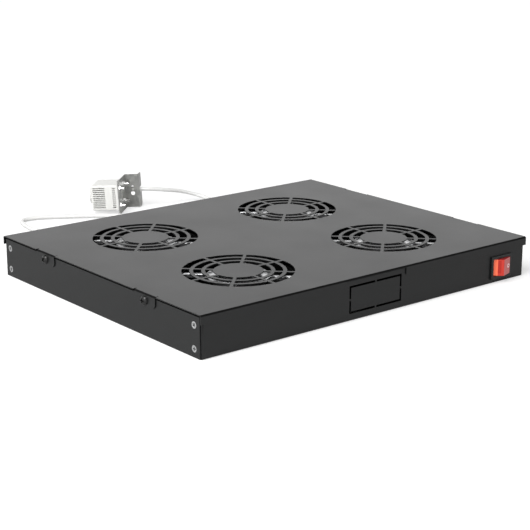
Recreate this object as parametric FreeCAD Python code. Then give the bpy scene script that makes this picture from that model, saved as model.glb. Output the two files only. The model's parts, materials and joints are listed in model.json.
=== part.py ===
import FreeCAD, Part
import math
import os

# Rack fan tray, one rack unit high: four axial fans in a folded sheet-metal case.
# Units are millimetres.  Origin: centre of the tray's underside.  +X runs to the right
# along the front panel, +Y to the rear, +Z up.  The cabinet thermostat on its bracket
# stands behind the tray, on the end of its cord.

V = FreeCAD.Vector
X, Y, Z = V(1, 0, 0), V(0, 1, 0), V(0, 0, 1)

# ---------------------------------------------------------------- driving dimensions
CASE_WIDTH = 440.0
CASE_DEPTH = 360.0
CASE_HEIGHT = 44.0            # floor to the top of the lid
SHEET = 1.0                   # lid and pan
SIDE_SHEET = 1.2              # screwed-on side panels
BEND_INNER = 0.8              # inside radius of every fold
LID_GAP = 0.1                 # lid flange to case
SEAT_GAP = 0.2                # loose piece in its cut-out
RUN_GAP = 0.05                # shaft in bearing, radial
SCREW_GAP = 0.05              # screw in its tapped hole, radial
HOLE_GAP = 0.3                # screw in its clearance hole, radial

RETURN_FLANGE = 18.0          # pan: upright returns behind the side panels
TOP_FLANGE = 9.0              # pan: ledges that carry the lid
FOLD_RELIEF = 3.0             # notch between two folds
SIDE_PANEL_TOP_GAP = 1.8      # side panel to lid
SIDE_PANEL_SETBACK = 2.2      # side panel to the face of the front wall

LID_FLANGE = 9.2              # lid: front and rear skirts, from the top
LID_FLANGE_BREAK = 82.3       # gap in the front skirt above the knock-out
TAB_WIDTH = 35.0
TAB_DROP = 13.0
TAB_SPACING = 183.3
TAB_SHIFT = 1.1               # middle of the two tabs behind the middle of the case
TAB_CORNER = 5.5
LID_SCREW_DROP = 7.3          # below the top of the lid

GRILLE_SLOT = 8.0             # radial width of a slot
GRILLE_BAR = 4.0              # ring between two slots
GRILLE_RINGS = 3
GRILLE_HUB_R = 25.5           # solid disc in the middle
GRILLE_SPOKE = 3.4
GRILLE_SPOKES = 8

FAN_PITCH_X = 200.8
FAN_PITCH_Y = 164.6
FAN_SHIFT_X = -2.9            # centre of the four fans from the centre of the case
FAN_SHIFT_Y = -3.5
FAN_SIZE = 119.5
FAN_HEADROOM = 4.0            # fan to the underside of the lid
FAN_BORE_R = 57.5
FAN_RING_WALL = 2.0
FAN_FLANGE = 4.0
FAN_CORNER = 4.5
FAN_HOLE_PITCH = 105.0
FAN_SCREW_R = 2.0

STRUT_WIDTH = 5.0
STRUT_HEIGHT = 4.0
MOTOR_PLATE_R = 33.0
MOTOR_PLATE = 3.0
LABEL_R = 30.0
LABEL_THICK = 0.3
BEARING_R = 6.5
BEARING_TUBE_WALL = 1.8
BEARING_TUBE_FOOT = 11.0      # lower end of the tube above the fan's underside
SHAFT_R = 2.5
SHAFT_END_GAP = 1.0
STATOR_R = 25.0
STATOR_FOOT = 13.0
STATOR_TO_PLATE = 4.0          # core to the motor plate
HUB_R = 30.5
HUB_WALL = 2.5
HUB_FOOT = 3.0                # lowest face of the rotor above the fan's underside
HUB_TO_PLATE = 3.0            # open end of the hub to the motor plate
HUB_BOSS_R = 5.5
HUB_BOSS = 4.5
BLADES = 5
BLADE_TIP_GAP = 1.3
BLADE_THICK = 1.5
BLADE_CHORD_ROOT = 30.0
BLADE_CHORD_TIP = 38.0
BLADE_ANGLE_ROOT = 48.0       # from the plane of rotation
BLADE_ANGLE_TIP = 34.0
BLADE_CAMBER = 0.12           # rise of the arched section as a share of the chord
BLADE_STATIONS = (-0.5, -0.18, 0.18, 0.5)

BASE_SLOT = 8.0               # straight air slots under each fan
BASE_BAR = 4.0

KNOCKOUT_WIDTH = 71.2
KNOCKOUT_HEIGHT = 29.0
KNOCKOUT_SLOT = 2.2
KNOCKOUT_BRIDGE = 2.0
KNOCKOUT_X = -1.5
KNOCKOUT_Z = 22.0

SWITCH_INSET = 37.7           # from the right-hand side
SWITCH_Z = 17.3
SWITCH_BEZEL_W = 30.6
SWITCH_BEZEL_H = 25.6
SWITCH_BEZEL = 2.5
SWITCH_BEZEL_CORNER = 1.2
SWITCH_BODY_W = 28.4
SWITCH_BODY_H = 21.8
SWITCH_BODY_DEPTH = 16.0
SWITCH_WELL_DEPTH = 11.5
SWITCH_WALL = 2.6             # side of the rocker's well
SWITCH_TAB_W = 6.3
SWITCH_TAB_T = 0.8
SWITCH_TAB_L = 8.0
ROCKER_GAP = 0.5
ROCKER_RIDGE = 6.9            # ridge above the pivot
ROCKER_SLOPE = 30.5           # fall of each half away from the ridge
ROCKER_TILT = 12.5            # rest tilt; the other position is the mirror image
ROCKER_PIVOT_DEPTH = 1.9      # pivot axis behind the front of the bezel
ROCKER_TAIL = 6.0             # below the pivot
ROCKER_BULGE = 0.5            # of the rounded ends
ROCKER_PIN_R = 1.5

INLET_INSET = 42.0            # from the right-hand side
INLET_Z = 20.0
INLET_FLANGE_W = 50.0
INLET_FLANGE_H = 24.0
INLET_FLANGE = 3.0
INLET_BODY_W = 27.4
INLET_BODY_H = 19.8
INLET_BODY_DEPTH = 18.0
INLET_SOCKET_W = 24.4
INLET_SOCKET_H = 16.8
INLET_SOCKET_DEPTH = 16.0
INLET_SOCKET_CHAMFER = 5.0
INLET_SCREW_PITCH = 40.0
INLET_SCREW_R = 1.5
INLET_NUT_ACROSS = 5.5
INLET_NUT = 2.4
PIN_PITCH = 14.0
PIN_RISE = 4.0                # earth pin above the other two
PIN_WIDTH = 4.0
PIN_THICK = 2.0
PIN_LENGTH = 13.5
PIN_TAIL = 8.0

BUSHING_X = -60.0
BUSHING_Z = 20.0
BUSHING_FLANGE_R = 8.0
BUSHING_FLANGE = 3.0
BUSHING_NECK_R = 5.5
BUSHING_TAIL = 12.0
BUSHING_TAIL_R = 4.6
BUSHING_TIP_R = 3.3
BUSHING_NUT_ACROSS = 17.0
BUSHING_NUT = 4.0

BLOCK_WIDTH = 18.0            # terminal block, along X
BLOCK_WAYS = 4
BLOCK_PITCH = 10.0
BLOCK_HEIGHT = 15.0
BLOCK_SHOULDER = 9.0
BLOCK_SCREW_R = 1.9
BLOCK_SCREW_SINK = 2.5
EARTH_INSET_X = 24.0          # from the right-hand side and the rear wall
EARTH_INSET_Y = 60.0
EARTH_STUD_R = 2.0
EARTH_STUD_L = 14.0
EARTH_NUT_ACROSS = 7.0
EARTH_NUT = 3.2

CSK_HEAD_R = 3.5
CSK_SHANK_R = 2.0
CSK_LENGTH = 8.0
SIDE_SCREW_INSET = 11.1       # from the front and rear walls
SIDE_SCREW_LOW = 8.6
SIDE_SCREW_PITCH = 23.3
LID_SCREW_HEAD_R = 4.8
LID_SCREW_HEAD = 3.2
LID_SCREW_R = 2.5
LID_SCREW_LENGTH = 8.0

LEAD_R = 1.6
LEAD_STUB = 6.0               # straight end of a lead
CORD_R = 2.5
CORD_LIE = 2.6                # height of the cord's axis on the floor
CORD_STUB = 13.0
CORD_SIDES = 8
LEAD_SIDES = 6
CORD_ARC_SHARE = 0.45         # of the shorter run at each bend

STAT_X = 24.6                 # near lower corner of the bracket's face plate
STAT_BEHIND = 144.9           # the same corner behind the tray's rear wall
STAT_TURN = -46.5             # its length axis, dial to bracket, from +X
STAT_LEAN = 3.1               # it tips towards the dial on the bracket's lower edge
STAT_FOOT = 5.7               # housing above the bracket's foot
STAT_LENGTH = 31.6            # cover, from the dial face
STAT_BASE = 3.2               # base behind the cover
STAT_WIDTH = 37.4
STAT_HEIGHT = 32.9
STAT_WALL = 1.6
STAT_EDGE = 2.0
STAT_SLOTS = 11
STAT_SLOT_PITCH = 2.5
STAT_SLOT = 1.2
STAT_SLOT_LENGTH = 15.8
STAT_SLOT_START = 2.2
STAT_NOTCH_DEPTH = 4.2
DIAL_R = 11.5
DIAL_HEIGHT = 4.0
DIAL_GAP = 0.3
DIAL_FLUTES = 12
DIAL_FLUTE_R = 2.0
SPINDLE_R = 3.0
SPINDLE_LENGTH = 11.0
SPINDLE_COLLAR_R = 5.0
SPINDLE_COLLAR = 1.6
CHASSIS_WIDTH = 26.0          # moulded carrier inside the thermostat
CHASSIS_HEIGHT = 24.0
CHASSIS_LENGTH = 9.0
BIMETAL_THICK = 0.8
BIMETAL_WIDTH = 8.0

BRACKET_SHEET = 1.2
BRACKET_HEIGHT = 43.7
BRACKET_FACE = 42.7           # plate that carries the thermostat
BRACKET_WEB = 17.6
BRACKET_FLANGE = 12.9
BRACKET_ROUND = 5.0
BRACKET_WINDOW_W = 7.0
BRACKET_WINDOW_H = 18.0
STUD_PITCH_Y = 26.0
STUD_PITCH_Z = 22.0
STUD_R = 1.9
STUD_LENGTH = 6.3             # past the bracket
STUD_SINK = 3.0               # into the thermostat's base
STUD_NUT_ACROSS = 6.6
STUD_NUT = 1.8
KEYHOLE_R = 2.8
KEYHOLE_SLOT = 3.4
KEYHOLE_HEIGHT = 13.0
CORD_NOTCH = 7.0              # height of the cord's notch in the bracket
BOOT_R = 4.0
BOOT_NOSE = 17.5
BOOT_GAP = 0.5                # nose to the bracket's flange

# ------------------------------------------------------------------ worked-out values
HALF_W = CASE_WIDTH / 2
HALF_D = CASE_DEPTH / 2
SWITCH_X = HALF_W - SWITCH_INSET
INLET_X = HALF_W - INLET_INSET
FAN_HEIGHT = CASE_HEIGHT - 2 * SHEET - FAN_HEADROOM
HUB_HEIGHT = FAN_HEIGHT - MOTOR_PLATE - HUB_TO_PLATE - HUB_FOOT
PAN_HALF_W = HALF_W - SIDE_SHEET
PAN_TOP = CASE_HEIGHT - SHEET
BEND_OUTER = BEND_INNER + SHEET
LID_HALF_W = HALF_W + LID_GAP + SHEET
LID_HALF_D = HALF_D + LID_GAP + SHEET
GRILLE_R = GRILLE_HUB_R + GRILLE_RINGS * GRILLE_SLOT + (GRILLE_RINGS - 1) * GRILLE_BAR
TAB_YS = (TAB_SHIFT - TAB_SPACING / 2, TAB_SHIFT + TAB_SPACING / 2)
LID_SCREW_Z = CASE_HEIGHT - LID_SCREW_DROP
SIDE_SCREW_YS = (-HALF_D + SIDE_SCREW_INSET, HALF_D - SIDE_SCREW_INSET)
SIDE_SCREW_ZS = (SIDE_SCREW_LOW, SIDE_SCREW_LOW + SIDE_SCREW_PITCH)
FAN_CENTRES = [
    V(FAN_SHIFT_X + sx * FAN_PITCH_X / 2, FAN_SHIFT_Y + sy * FAN_PITCH_Y / 2, SHEET)
    for sy in (-1, 1)
    for sx in (-1, 1)
]
FAN_NAMES = ("front_left", "front_right", "rear_left", "rear_right")
FAN_HOLES = [
    V(sx * FAN_HOLE_PITCH / 2, sy * FAN_HOLE_PITCH / 2, 0)
    for sx in (-1, 1)
    for sy in (-1, 1)
]
ROOM = 1.0                    # how far cutting tools reach past the sheet they cut
FEW_SIDES = 12                # repeated small rounds are prisms with this many sides
MANY_SIDES = 36               # repeated large rounds likewise


# --------------------------------------------------------------------------- helpers
def block(low, high):
    """Box between two opposite corners."""
    return Part.makeBox(high[0] - low[0], high[1] - low[1], high[2] - low[2], V(*low))


def rod(radius, start, axis, length):
    """Cylinder from a start point along an axis."""
    return Part.makeCylinder(radius, length, V(*start), axis)


def cone(radius_a, radius_b, start, axis, length):
    """Truncated cone from a start point along an axis."""
    return Part.makeCone(radius_a, radius_b, length, V(*start), axis)


def ring(radius, start, axis, sides):
    """Closed outline of a regular polygon square to an axis."""
    side = V(0, 0, 1) if abs(axis.z) < 0.5 else V(1, 0, 0)
    corners = []
    for step in range(sides):
        arm = FreeCAD.Rotation(axis, (step + 0.5) * 360 / sides).multVec(side * radius)
        corners.append(V(*start) + arm)
    return Part.makePolygon(corners + corners[:1])


def prism(radius, start, axis, length, sides=FEW_SIDES):
    """Many-sided prism in place of a repeated round."""
    return Part.Face(ring(radius, start, axis, sides)).extrude(axis * length)


def taper(radius_a, radius_b, start, axis, length, sides=FEW_SIDES):
    """Many-sided taper between two radii."""
    far = V(*start) + axis * length
    return Part.makeLoft([ring(radius_a, start, axis, sides), ring(radius_b, far, axis, sides)], True, True)


def hexagon(across, start, axis, length):
    """Hexagonal prism given by its width across flats."""
    return prism(across / math.sqrt(3), start, axis, length, 6)


def fused(shapes):
    """One shape from several that touch or cross."""
    shapes = list(shapes)
    if len(shapes) == 1:
        return shapes[0]
    return shapes[0].multiFuse(shapes[1:]).removeSplitter()


def edges_along(shape, axis, keep):
    """Straight edges parallel to an axis whose midpoint passes a test."""
    found = []
    for edge in shape.Edges:
        if not isinstance(edge.Curve, Part.Line):
            continue
        if abs(abs(edge.tangentAt(edge.FirstParameter).dot(axis)) - 1) > 1e-6:
            continue
        if keep(edge.CenterOfMass):
            found.append(edge)
    return found


def countersunk_screw(head_centre, axis, sheet):
    """Flat-headed screw whose head fills the sheet; axis points out of the head."""
    head = taper(CSK_HEAD_R, CSK_SHANK_R, head_centre, axis * -1, sheet)
    return fused([head, prism(CSK_SHANK_R, head_centre, axis * -1, CSK_LENGTH)])


def countersink(head_centre, axis, sheet):
    """Conical seat for a flat-headed screw, through the sheet."""
    return taper(CSK_HEAD_R + SCREW_GAP, CSK_SHANK_R + SCREW_GAP, head_centre, axis * -1, sheet)


def tube(points, radius, sides, name=""):
    """Solid cord of straight runs joined by tangent arcs, each as large as its runs allow."""
    points = [V(*p) for p in points]
    along = (points[1] - points[0]).normalize()
    level = along.cross(Z).normalize() * radius
    turns = [FreeCAD.Rotation(along, (n + 0.5) * 360 / sides) for n in range(sides)]
    rim = [points[0] + turn.multVec(level) for turn in turns]
    section = Part.Face(Part.makePolygon(rim + rim[:1]))
    area, length = section.Area, 0
    pieces, radii = [], []
    start = points[0]
    for before, corner, after in zip(points, points[1:], points[2:]):
        run_in, run_out = corner - before, after - corner
        turn = run_in.getAngle(run_out)
        reach = CORD_ARC_SHARE * min(run_in.Length, run_out.Length)
        radii.append(reach / math.tan(turn / 2))
        along = V(run_in).normalize()
        straight = corner - along * reach - start
        pieces.append(section.extrude(straight))
        section = section.translated(straight)
        start += straight
        axis = run_in.cross(run_out).normalize()
        centre = start + axis.cross(along) * radii[-1]
        pieces.append(section.revolve(centre, axis, math.degrees(turn)))
        section = section.rotated(centre, axis, math.degrees(turn))
        start = corner + V(run_out).normalize() * reach
        length += straight.Length + radii[-1] * turn
    pieces.append(section.extrude(points[-1] - start))
    length += (points[-1] - start).Length
    solid = fused(pieces)
    if name:
        share = solid.Volume / (area * length)
        whole_radii = [round(r) for r in radii]
        print(name, "length", round(length, 1), "volume share", round(share, 4), "radii", whole_radii)
    return solid


def mirror_x(shape):
    """Mirror image across the plane x = 0."""
    return shape.mirror(V(0, 0, 0), X)


# ------------------------------------------------------------------------ sheet metal
def grille_cutter(height):
    """The arc slots of one grille about the origin, as separate prisms."""
    rings = []
    for ring in range(GRILLE_RINGS):
        inner = GRILLE_HUB_R + ring * (GRILLE_SLOT + GRILLE_BAR)
        outer = inner + GRILLE_SLOT
        disc = prism(outer, (0, 0, 0), Z, height, MANY_SIDES)
        rings.append(disc.cut(prism(inner, (0, 0, 0), Z, height, MANY_SIDES)))
    bars = []
    for spoke in range(GRILLE_SPOKES // 2):
        bar = block((-GRILLE_R - ROOM, -GRILLE_SPOKE / 2, 0), (GRILLE_R + ROOM, GRILLE_SPOKE / 2, height))
        bars.append(bar.rotate(V(0, 0, 0), Z, spoke * 360 / GRILLE_SPOKES))
    return Part.makeCompound(rings).cut(fused(bars))


def folded_channel(half_x, half_y, bottom, top):
    """Solid with both long top edges rounded to the outside of a fold."""
    body = block((-half_x, -half_y, bottom), (half_x, half_y, top))
    return body, edges_along(body, X, lambda c: c.z > top - ROOM)


def lid_tab(y):
    """One hanging tab with its fold, on the right-hand side."""
    low = CASE_HEIGHT - TAB_DROP
    outer = block((0, y - TAB_WIDTH / 2, low), (LID_HALF_W, y + TAB_WIDTH / 2, CASE_HEIGHT))
    fold = edges_along(outer, Y, lambda c: c.z > CASE_HEIGHT - ROOM and c.x > ROOM)
    outer = outer.makeFillet(BEND_OUTER, fold)
    corners = edges_along(outer, X, lambda c: c.z < low + ROOM)
    outer = outer.makeFillet(TAB_CORNER, corners)
    inner = block((-ROOM, y - TAB_WIDTH, low - ROOM), (LID_HALF_W - SHEET, y + TAB_WIDTH, PAN_TOP))
    fold = edges_along(inner, Y, lambda c: c.z > PAN_TOP - ROOM and c.x > ROOM)
    inner = inner.makeFillet(BEND_INNER, fold)
    keep = block((LID_HALF_W - 2 * BEND_OUTER, y - TAB_WIDTH, low - ROOM),
                 (LID_HALF_W + ROOM, y + TAB_WIDTH, CASE_HEIGHT + ROOM))
    hole = prism(LID_SCREW_R + HOLE_GAP, (LID_HALF_W - SHEET - ROOM, y, LID_SCREW_Z), X, SHEET + 2 * ROOM)
    return outer.cut(inner).common(keep).cut(hole)


def make_lid():
    """Top cover: plate with front and rear skirts, side tabs and four punched grilles."""
    skirt_low = CASE_HEIGHT - LID_FLANGE
    outer, folds = folded_channel(LID_HALF_W, LID_HALF_D, skirt_low, CASE_HEIGHT)
    outer = outer.makeFillet(BEND_OUTER, folds)
    inner, folds = folded_channel(LID_HALF_W + ROOM, LID_HALF_D - SHEET, skirt_low - ROOM, PAN_TOP)
    inner = inner.makeFillet(BEND_INNER, folds)
    lid = outer.cut(inner)
    cutters = [block((KNOCKOUT_X - LID_FLANGE_BREAK / 2, -LID_HALF_D - ROOM, skirt_low - ROOM),
                     (KNOCKOUT_X + LID_FLANGE_BREAK / 2, -LID_HALF_D + SHEET, CASE_HEIGHT - BEND_OUTER))]
    for y in TAB_YS:
        half = TAB_WIDTH / 2 + FOLD_RELIEF / 2
        notch = block((LID_HALF_W - 2 * BEND_OUTER, y - half, PAN_TOP - ROOM),
                      (LID_HALF_W + ROOM, y + half, CASE_HEIGHT + ROOM))
        cutters += [notch, mirror_x(notch)]
    slots = grille_cutter(SHEET + 2 * ROOM)
    for centre in FAN_CENTRES:
        cutters.append(slots.translated(V(centre.x, centre.y, PAN_TOP - ROOM)))
    lid = lid.cut(Part.makeCompound(cutters))
    tabs = []
    for y in TAB_YS:
        tab = lid_tab(y)
        tabs += [tab, mirror_x(tab)]
    return fused([lid] + tabs)


def base_slots():
    """Straight air slots of one fan, clipped to the fan's bore."""
    count = int((2 * GRILLE_R + BASE_BAR) // (BASE_SLOT + BASE_BAR))
    span = count * (BASE_SLOT + BASE_BAR) - BASE_BAR
    slots = []
    for index in range(count):
        low = -span / 2 + index * (BASE_SLOT + BASE_BAR)
        far = max(abs(low), abs(low + BASE_SLOT))
        half = math.sqrt(max(GRILLE_R ** 2 - far ** 2, (2 * BASE_SLOT) ** 2))
        slots.append(block((-half, low, -ROOM), (half, low + BASE_SLOT, SHEET + ROOM)))
    return Part.makeCompound(slots)


def knockout_slots():
    """Broken outline of the removable panel in the front wall."""
    outer = (KNOCKOUT_WIDTH / 2, KNOCKOUT_HEIGHT / 2)
    inner = (outer[0] - KNOCKOUT_SLOT, outer[1] - KNOCKOUT_SLOT)
    depth = SHEET + 2 * ROOM
    frame = block((-outer[0], 0, -outer[1]), (outer[0], depth, outer[1]))
    frame = frame.cut(block((-inner[0], 0, -inner[1]), (inner[0], depth, inner[1])))
    half = KNOCKOUT_BRIDGE / 2
    across = block((-outer[0], 0, -half), (outer[0], depth, half))
    upright = block((-half, 0, -outer[1]), (half, depth, outer[1]))
    slots = frame.cut(fused([across, upright]))
    return slots.translated(V(KNOCKOUT_X, -HALF_D - ROOM, KNOCKOUT_Z))


def make_pan():
    """Lower case: floor, front wall and rear wall in one folded sheet."""
    def walls(inset, radius):
        body = block((-PAN_HALF_W + inset, -HALF_D + inset, inset),
                     (PAN_HALF_W - inset, HALF_D - inset, PAN_TOP - inset))
        folds = edges_along(body, X, lambda c: True) + edges_along(body, Z, lambda c: True)
        return body.makeFillet(radius, folds)

    pan = walls(0, BEND_OUTER).cut(walls(SHEET, BEND_INNER))
    clear_y = HALF_D - RETURN_FLANGE
    ledge_y = HALF_D - TOP_FLANGE
    side_x = PAN_HALF_W - SHEET
    cutters = [
        block((-HALF_W, -clear_y, SHEET), (HALF_W, clear_y, CASE_HEIGHT)),
        block((-HALF_W, -ledge_y, PAN_TOP - BEND_OUTER), (HALF_W, ledge_y, CASE_HEIGHT)),
    ]
    for sx in (-1, 1):
        for sy in (-1, 1):
            near, far = sorted((sx * (side_x - BEND_INNER), sx * HALF_W))
            low, high = sorted((sy * (HALF_D - BEND_OUTER), sy * (clear_y - ROOM)))
            cutters.append(block((near, low, SHEET), (far, high, SHEET + FOLD_RELIEF)))
            cutters.append(block((near, low, PAN_TOP - FOLD_RELIEF), (far, high, CASE_HEIGHT)))
    for centre in FAN_CENTRES:
        cutters.append(base_slots().translated(V(centre.x, centre.y, 0)))
        for hole in FAN_HOLES:
            cutters.append(countersink((centre.x + hole.x, centre.y + hole.y, 0), Z * -1, SHEET))
    for y in SIDE_SCREW_YS:
        for z in SIDE_SCREW_ZS:
            for sx in (-1, 1):
                start = (sx * (side_x - ROOM), y, z)
                cutters.append(prism(CSK_SHANK_R + SCREW_GAP, start, X * sx, SHEET + 2 * ROOM))
    cutters.append(knockout_slots())
    half_w = SWITCH_BODY_W / 2 + SEAT_GAP
    half_h = SWITCH_BODY_H / 2 + SEAT_GAP
    cutters.append(block((SWITCH_X - half_w, -HALF_D - ROOM, SWITCH_Z - half_h),
                         (SWITCH_X + half_w, -HALF_D + SHEET + ROOM, SWITCH_Z + half_h)))
    half_w = INLET_BODY_W / 2 + SEAT_GAP
    half_h = INLET_BODY_H / 2 + SEAT_GAP
    cutters.append(block((INLET_X - half_w, HALF_D - SHEET - ROOM, INLET_Z - half_h),
                         (INLET_X + half_w, HALF_D + ROOM, INLET_Z + half_h)))
    for sx in (-1, 1):
        start = (INLET_X + sx * INLET_SCREW_PITCH / 2, HALF_D - SHEET - ROOM, INLET_Z)
        cutters.append(prism(INLET_SCREW_R + HOLE_GAP, start, Y, SHEET + 2 * ROOM))
    start = (BUSHING_X, HALF_D - SHEET - ROOM, BUSHING_Z)
    cutters.append(rod(BUSHING_NECK_R + SEAT_GAP, start, Y, SHEET + 2 * ROOM))
    return pan.cut(Part.makeCompound(cutters))


def make_side_panel(side):
    """Flat side panel; side is -1 on the left and 1 on the right."""
    near, far = sorted((side * PAN_HALF_W, side * HALF_W))
    half = HALF_D - SIDE_PANEL_SETBACK
    panel = block((near, -half, 0), (far, half, PAN_TOP - SIDE_PANEL_TOP_GAP))
    cutters = []
    for y in SIDE_SCREW_YS:
        for z in SIDE_SCREW_ZS:
            cutters.append(countersink((side * HALF_W, y, z), X * side, SIDE_SHEET))
    for y in TAB_YS:
        start = (side * (PAN_HALF_W - ROOM), y, LID_SCREW_Z)
        cutters.append(prism(LID_SCREW_R + SCREW_GAP, start, X * side, SIDE_SHEET + 2 * ROOM))
    return panel.cut(Part.makeCompound(cutters))


def make_side_screws():
    """Eight flat-headed screws that hold the side panels to the pan's returns."""
    screws = []
    for side in (-1, 1):
        for y in SIDE_SCREW_YS:
            for z in SIDE_SCREW_ZS:
                screws.append(countersunk_screw((side * HALF_W, y, z), X * side, SIDE_SHEET))
    return Part.makeCompound(screws)


def make_lid_screws():
    """Four domed screws through the lid's tabs."""
    screws = []
    for side in (-1, 1):
        for y in TAB_YS:
            seat = (side * LID_HALF_W, y, LID_SCREW_Z)
            half_head = LID_SCREW_HEAD / 2
            crown = (side * (LID_HALF_W + half_head), y, LID_SCREW_Z)
            axis = X * side
            screws.append(fused([
                prism(LID_SCREW_HEAD_R, seat, axis, half_head),
                taper(LID_SCREW_HEAD_R, LID_SCREW_HEAD_R - half_head, crown, axis, half_head),
                prism(LID_SCREW_R, seat, axis * -1, LID_SCREW_LENGTH),
            ]))
    return Part.makeCompound(screws)


# ------------------------------------------------------------------------------- fans
def make_fan_frame():
    """Cast frame of one fan: square flanges, ring, four struts, motor plate and tube."""
    half = FAN_SIZE / 2
    plates = []
    for foot in (0, FAN_HEIGHT - FAN_FLANGE):
        plate = block((-half, -half, foot), (half, half, foot + FAN_FLANGE))
        plates.append(plate.makeChamfer(FAN_CORNER, edges_along(plate, Z, lambda c: True)))
    shell = prism(FAN_BORE_R + FAN_RING_WALL, (0, 0, 0), Z, FAN_HEIGHT, MANY_SIDES)
    frame = fused(plates + [shell])
    holes = [prism(FAN_BORE_R, (0, 0, 0), Z, FAN_HEIGHT, MANY_SIDES)]
    for hole in FAN_HOLES:
        holes.append(prism(FAN_SCREW_R + SCREW_GAP, (hole.x, hole.y, 0), Z, FAN_FLANGE))
    frame = frame.cut(Part.makeCompound(holes))
    top = FAN_HEIGHT
    reach = FAN_BORE_R + FAN_RING_WALL / 2
    spider = [prism(MOTOR_PLATE_R, (0, 0, top - MOTOR_PLATE), Z, MOTOR_PLATE, MANY_SIDES)]
    for turn in (45, 135):
        bar = block((-reach, -STRUT_WIDTH / 2, top - STRUT_HEIGHT), (reach, STRUT_WIDTH / 2, top))
        spider.append(bar.rotate(V(0, 0, 0), Z, turn))
    tube_r = BEARING_R + BEARING_TUBE_WALL
    spider.append(prism(tube_r, (0, 0, BEARING_TUBE_FOOT), Z, top - MOTOR_PLATE - BEARING_TUBE_FOOT))
    spider = fused(spider)
    bore_top = top - MOTOR_PLATE
    spider = spider.cut(prism(BEARING_R + SCREW_GAP, (0, 0, 0), Z, bore_top))
    return fused([frame, spider])


def make_bearing():
    """Sleeve bearing pressed into the tube."""
    length = FAN_HEIGHT - MOTOR_PLATE - BEARING_TUBE_FOOT
    sleeve = prism(BEARING_R, (0, 0, BEARING_TUBE_FOOT), Z, length)
    return sleeve.cut(rod(SHAFT_R + RUN_GAP, (0, 0, BEARING_TUBE_FOOT), Z, length))


def make_stator():
    """Wound core pushed over the bearing tube."""
    height = FAN_HEIGHT - MOTOR_PLATE - STATOR_TO_PLATE - STATOR_FOOT
    core = prism(STATOR_R, (0, 0, STATOR_FOOT), Z, height)
    bore_r = BEARING_R + BEARING_TUBE_WALL + SCREW_GAP
    return core.cut(prism(bore_r, (0, 0, STATOR_FOOT), Z, height))


def make_label():
    """Plain disc on the motor plate."""
    return prism(LABEL_R, (0, 0, FAN_HEIGHT), Z, LABEL_THICK, MANY_SIDES)


def blade_section(radius, chord, angle):
    """Cambered blade outline in the plane at this radius, square to it."""
    lean = math.radians(angle)
    along = V(0, math.cos(lean), math.sin(lean))
    up = V(0, -math.sin(lean), math.cos(lean))
    centre = V(radius, 0, HUB_FOOT + HUB_HEIGHT / 2)
    lower = []
    for share in BLADE_STATIONS:
        bow = BLADE_CAMBER * chord * (1 - (2 * share) ** 2)
        lower.append(centre + along * chord * share + up * bow)
    upper = [point + up * BLADE_THICK for point in reversed(lower)]
    return Part.makePolygon(lower + upper + lower[:1])


def make_rotor():
    """Impeller: hub cup, boss for the shaft and twisted, cambered blades."""
    cup = prism(HUB_R, (0, 0, HUB_FOOT), Z, HUB_HEIGHT, MANY_SIDES)
    tip_r = FAN_BORE_R - BLADE_TIP_GAP
    root = blade_section(HUB_R - HUB_WALL / 2, BLADE_CHORD_ROOT, BLADE_ANGLE_ROOT)
    tip = blade_section(tip_r + BLADE_CHORD_TIP / 4, BLADE_CHORD_TIP, BLADE_ANGLE_TIP)
    blade = Part.makeLoft([root, tip], True, True)
    blade = blade.common(prism(tip_r, (0, 0, 0), Z, FAN_HEIGHT, MANY_SIDES))
    blades = [blade.rotated(V(0, 0, 0), Z, n * 360 / BLADES) for n in range(BLADES)]
    rotor = fused([cup] + blades)
    rotor = rotor.cut(prism(HUB_R - HUB_WALL, (0, 0, HUB_FOOT + HUB_WALL), Z, FAN_HEIGHT, MANY_SIDES))
    boss = prism(HUB_BOSS_R, (0, 0, HUB_FOOT), Z, HUB_WALL + HUB_BOSS)
    rotor = fused([rotor, boss])
    return rotor.cut(rod(SHAFT_R + SCREW_GAP / 2, (0, 0, HUB_FOOT + HUB_WALL), Z, FAN_HEIGHT))


def make_shaft():
    """Steel shaft from the hub boss to the far bearing."""
    foot = HUB_FOOT + HUB_WALL
    return rod(SHAFT_R, (0, 0, foot), Z, FAN_HEIGHT - MOTOR_PLATE - SHAFT_END_GAP - foot)


def make_fan_screws():
    """Four flat-headed screws per fan, up through the floor into the frame."""
    screws = []
    for centre in FAN_CENTRES:
        for hole in FAN_HOLES:
            screws.append(countersunk_screw((centre.x + hole.x, centre.y + hole.y, 0), Z * -1, SHEET))
    return Part.makeCompound(screws)


# ----------------------------------------------------------------------------- switch
BEZEL_FRONT = -HALF_D - SWITCH_BEZEL
ROCKER_AXIS_Y = BEZEL_FRONT + ROCKER_PIVOT_DEPTH
WELL_HALF_W = SWITCH_BODY_W / 2 - SWITCH_WALL / 2
WELL_HALF_H = SWITCH_BODY_H / 2 - SWITCH_WALL / 2
ROCKER_HALF_L = WELL_HALF_W - ROCKER_GAP
ROCKER_HALF_H = WELL_HALF_H - ROCKER_GAP


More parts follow.
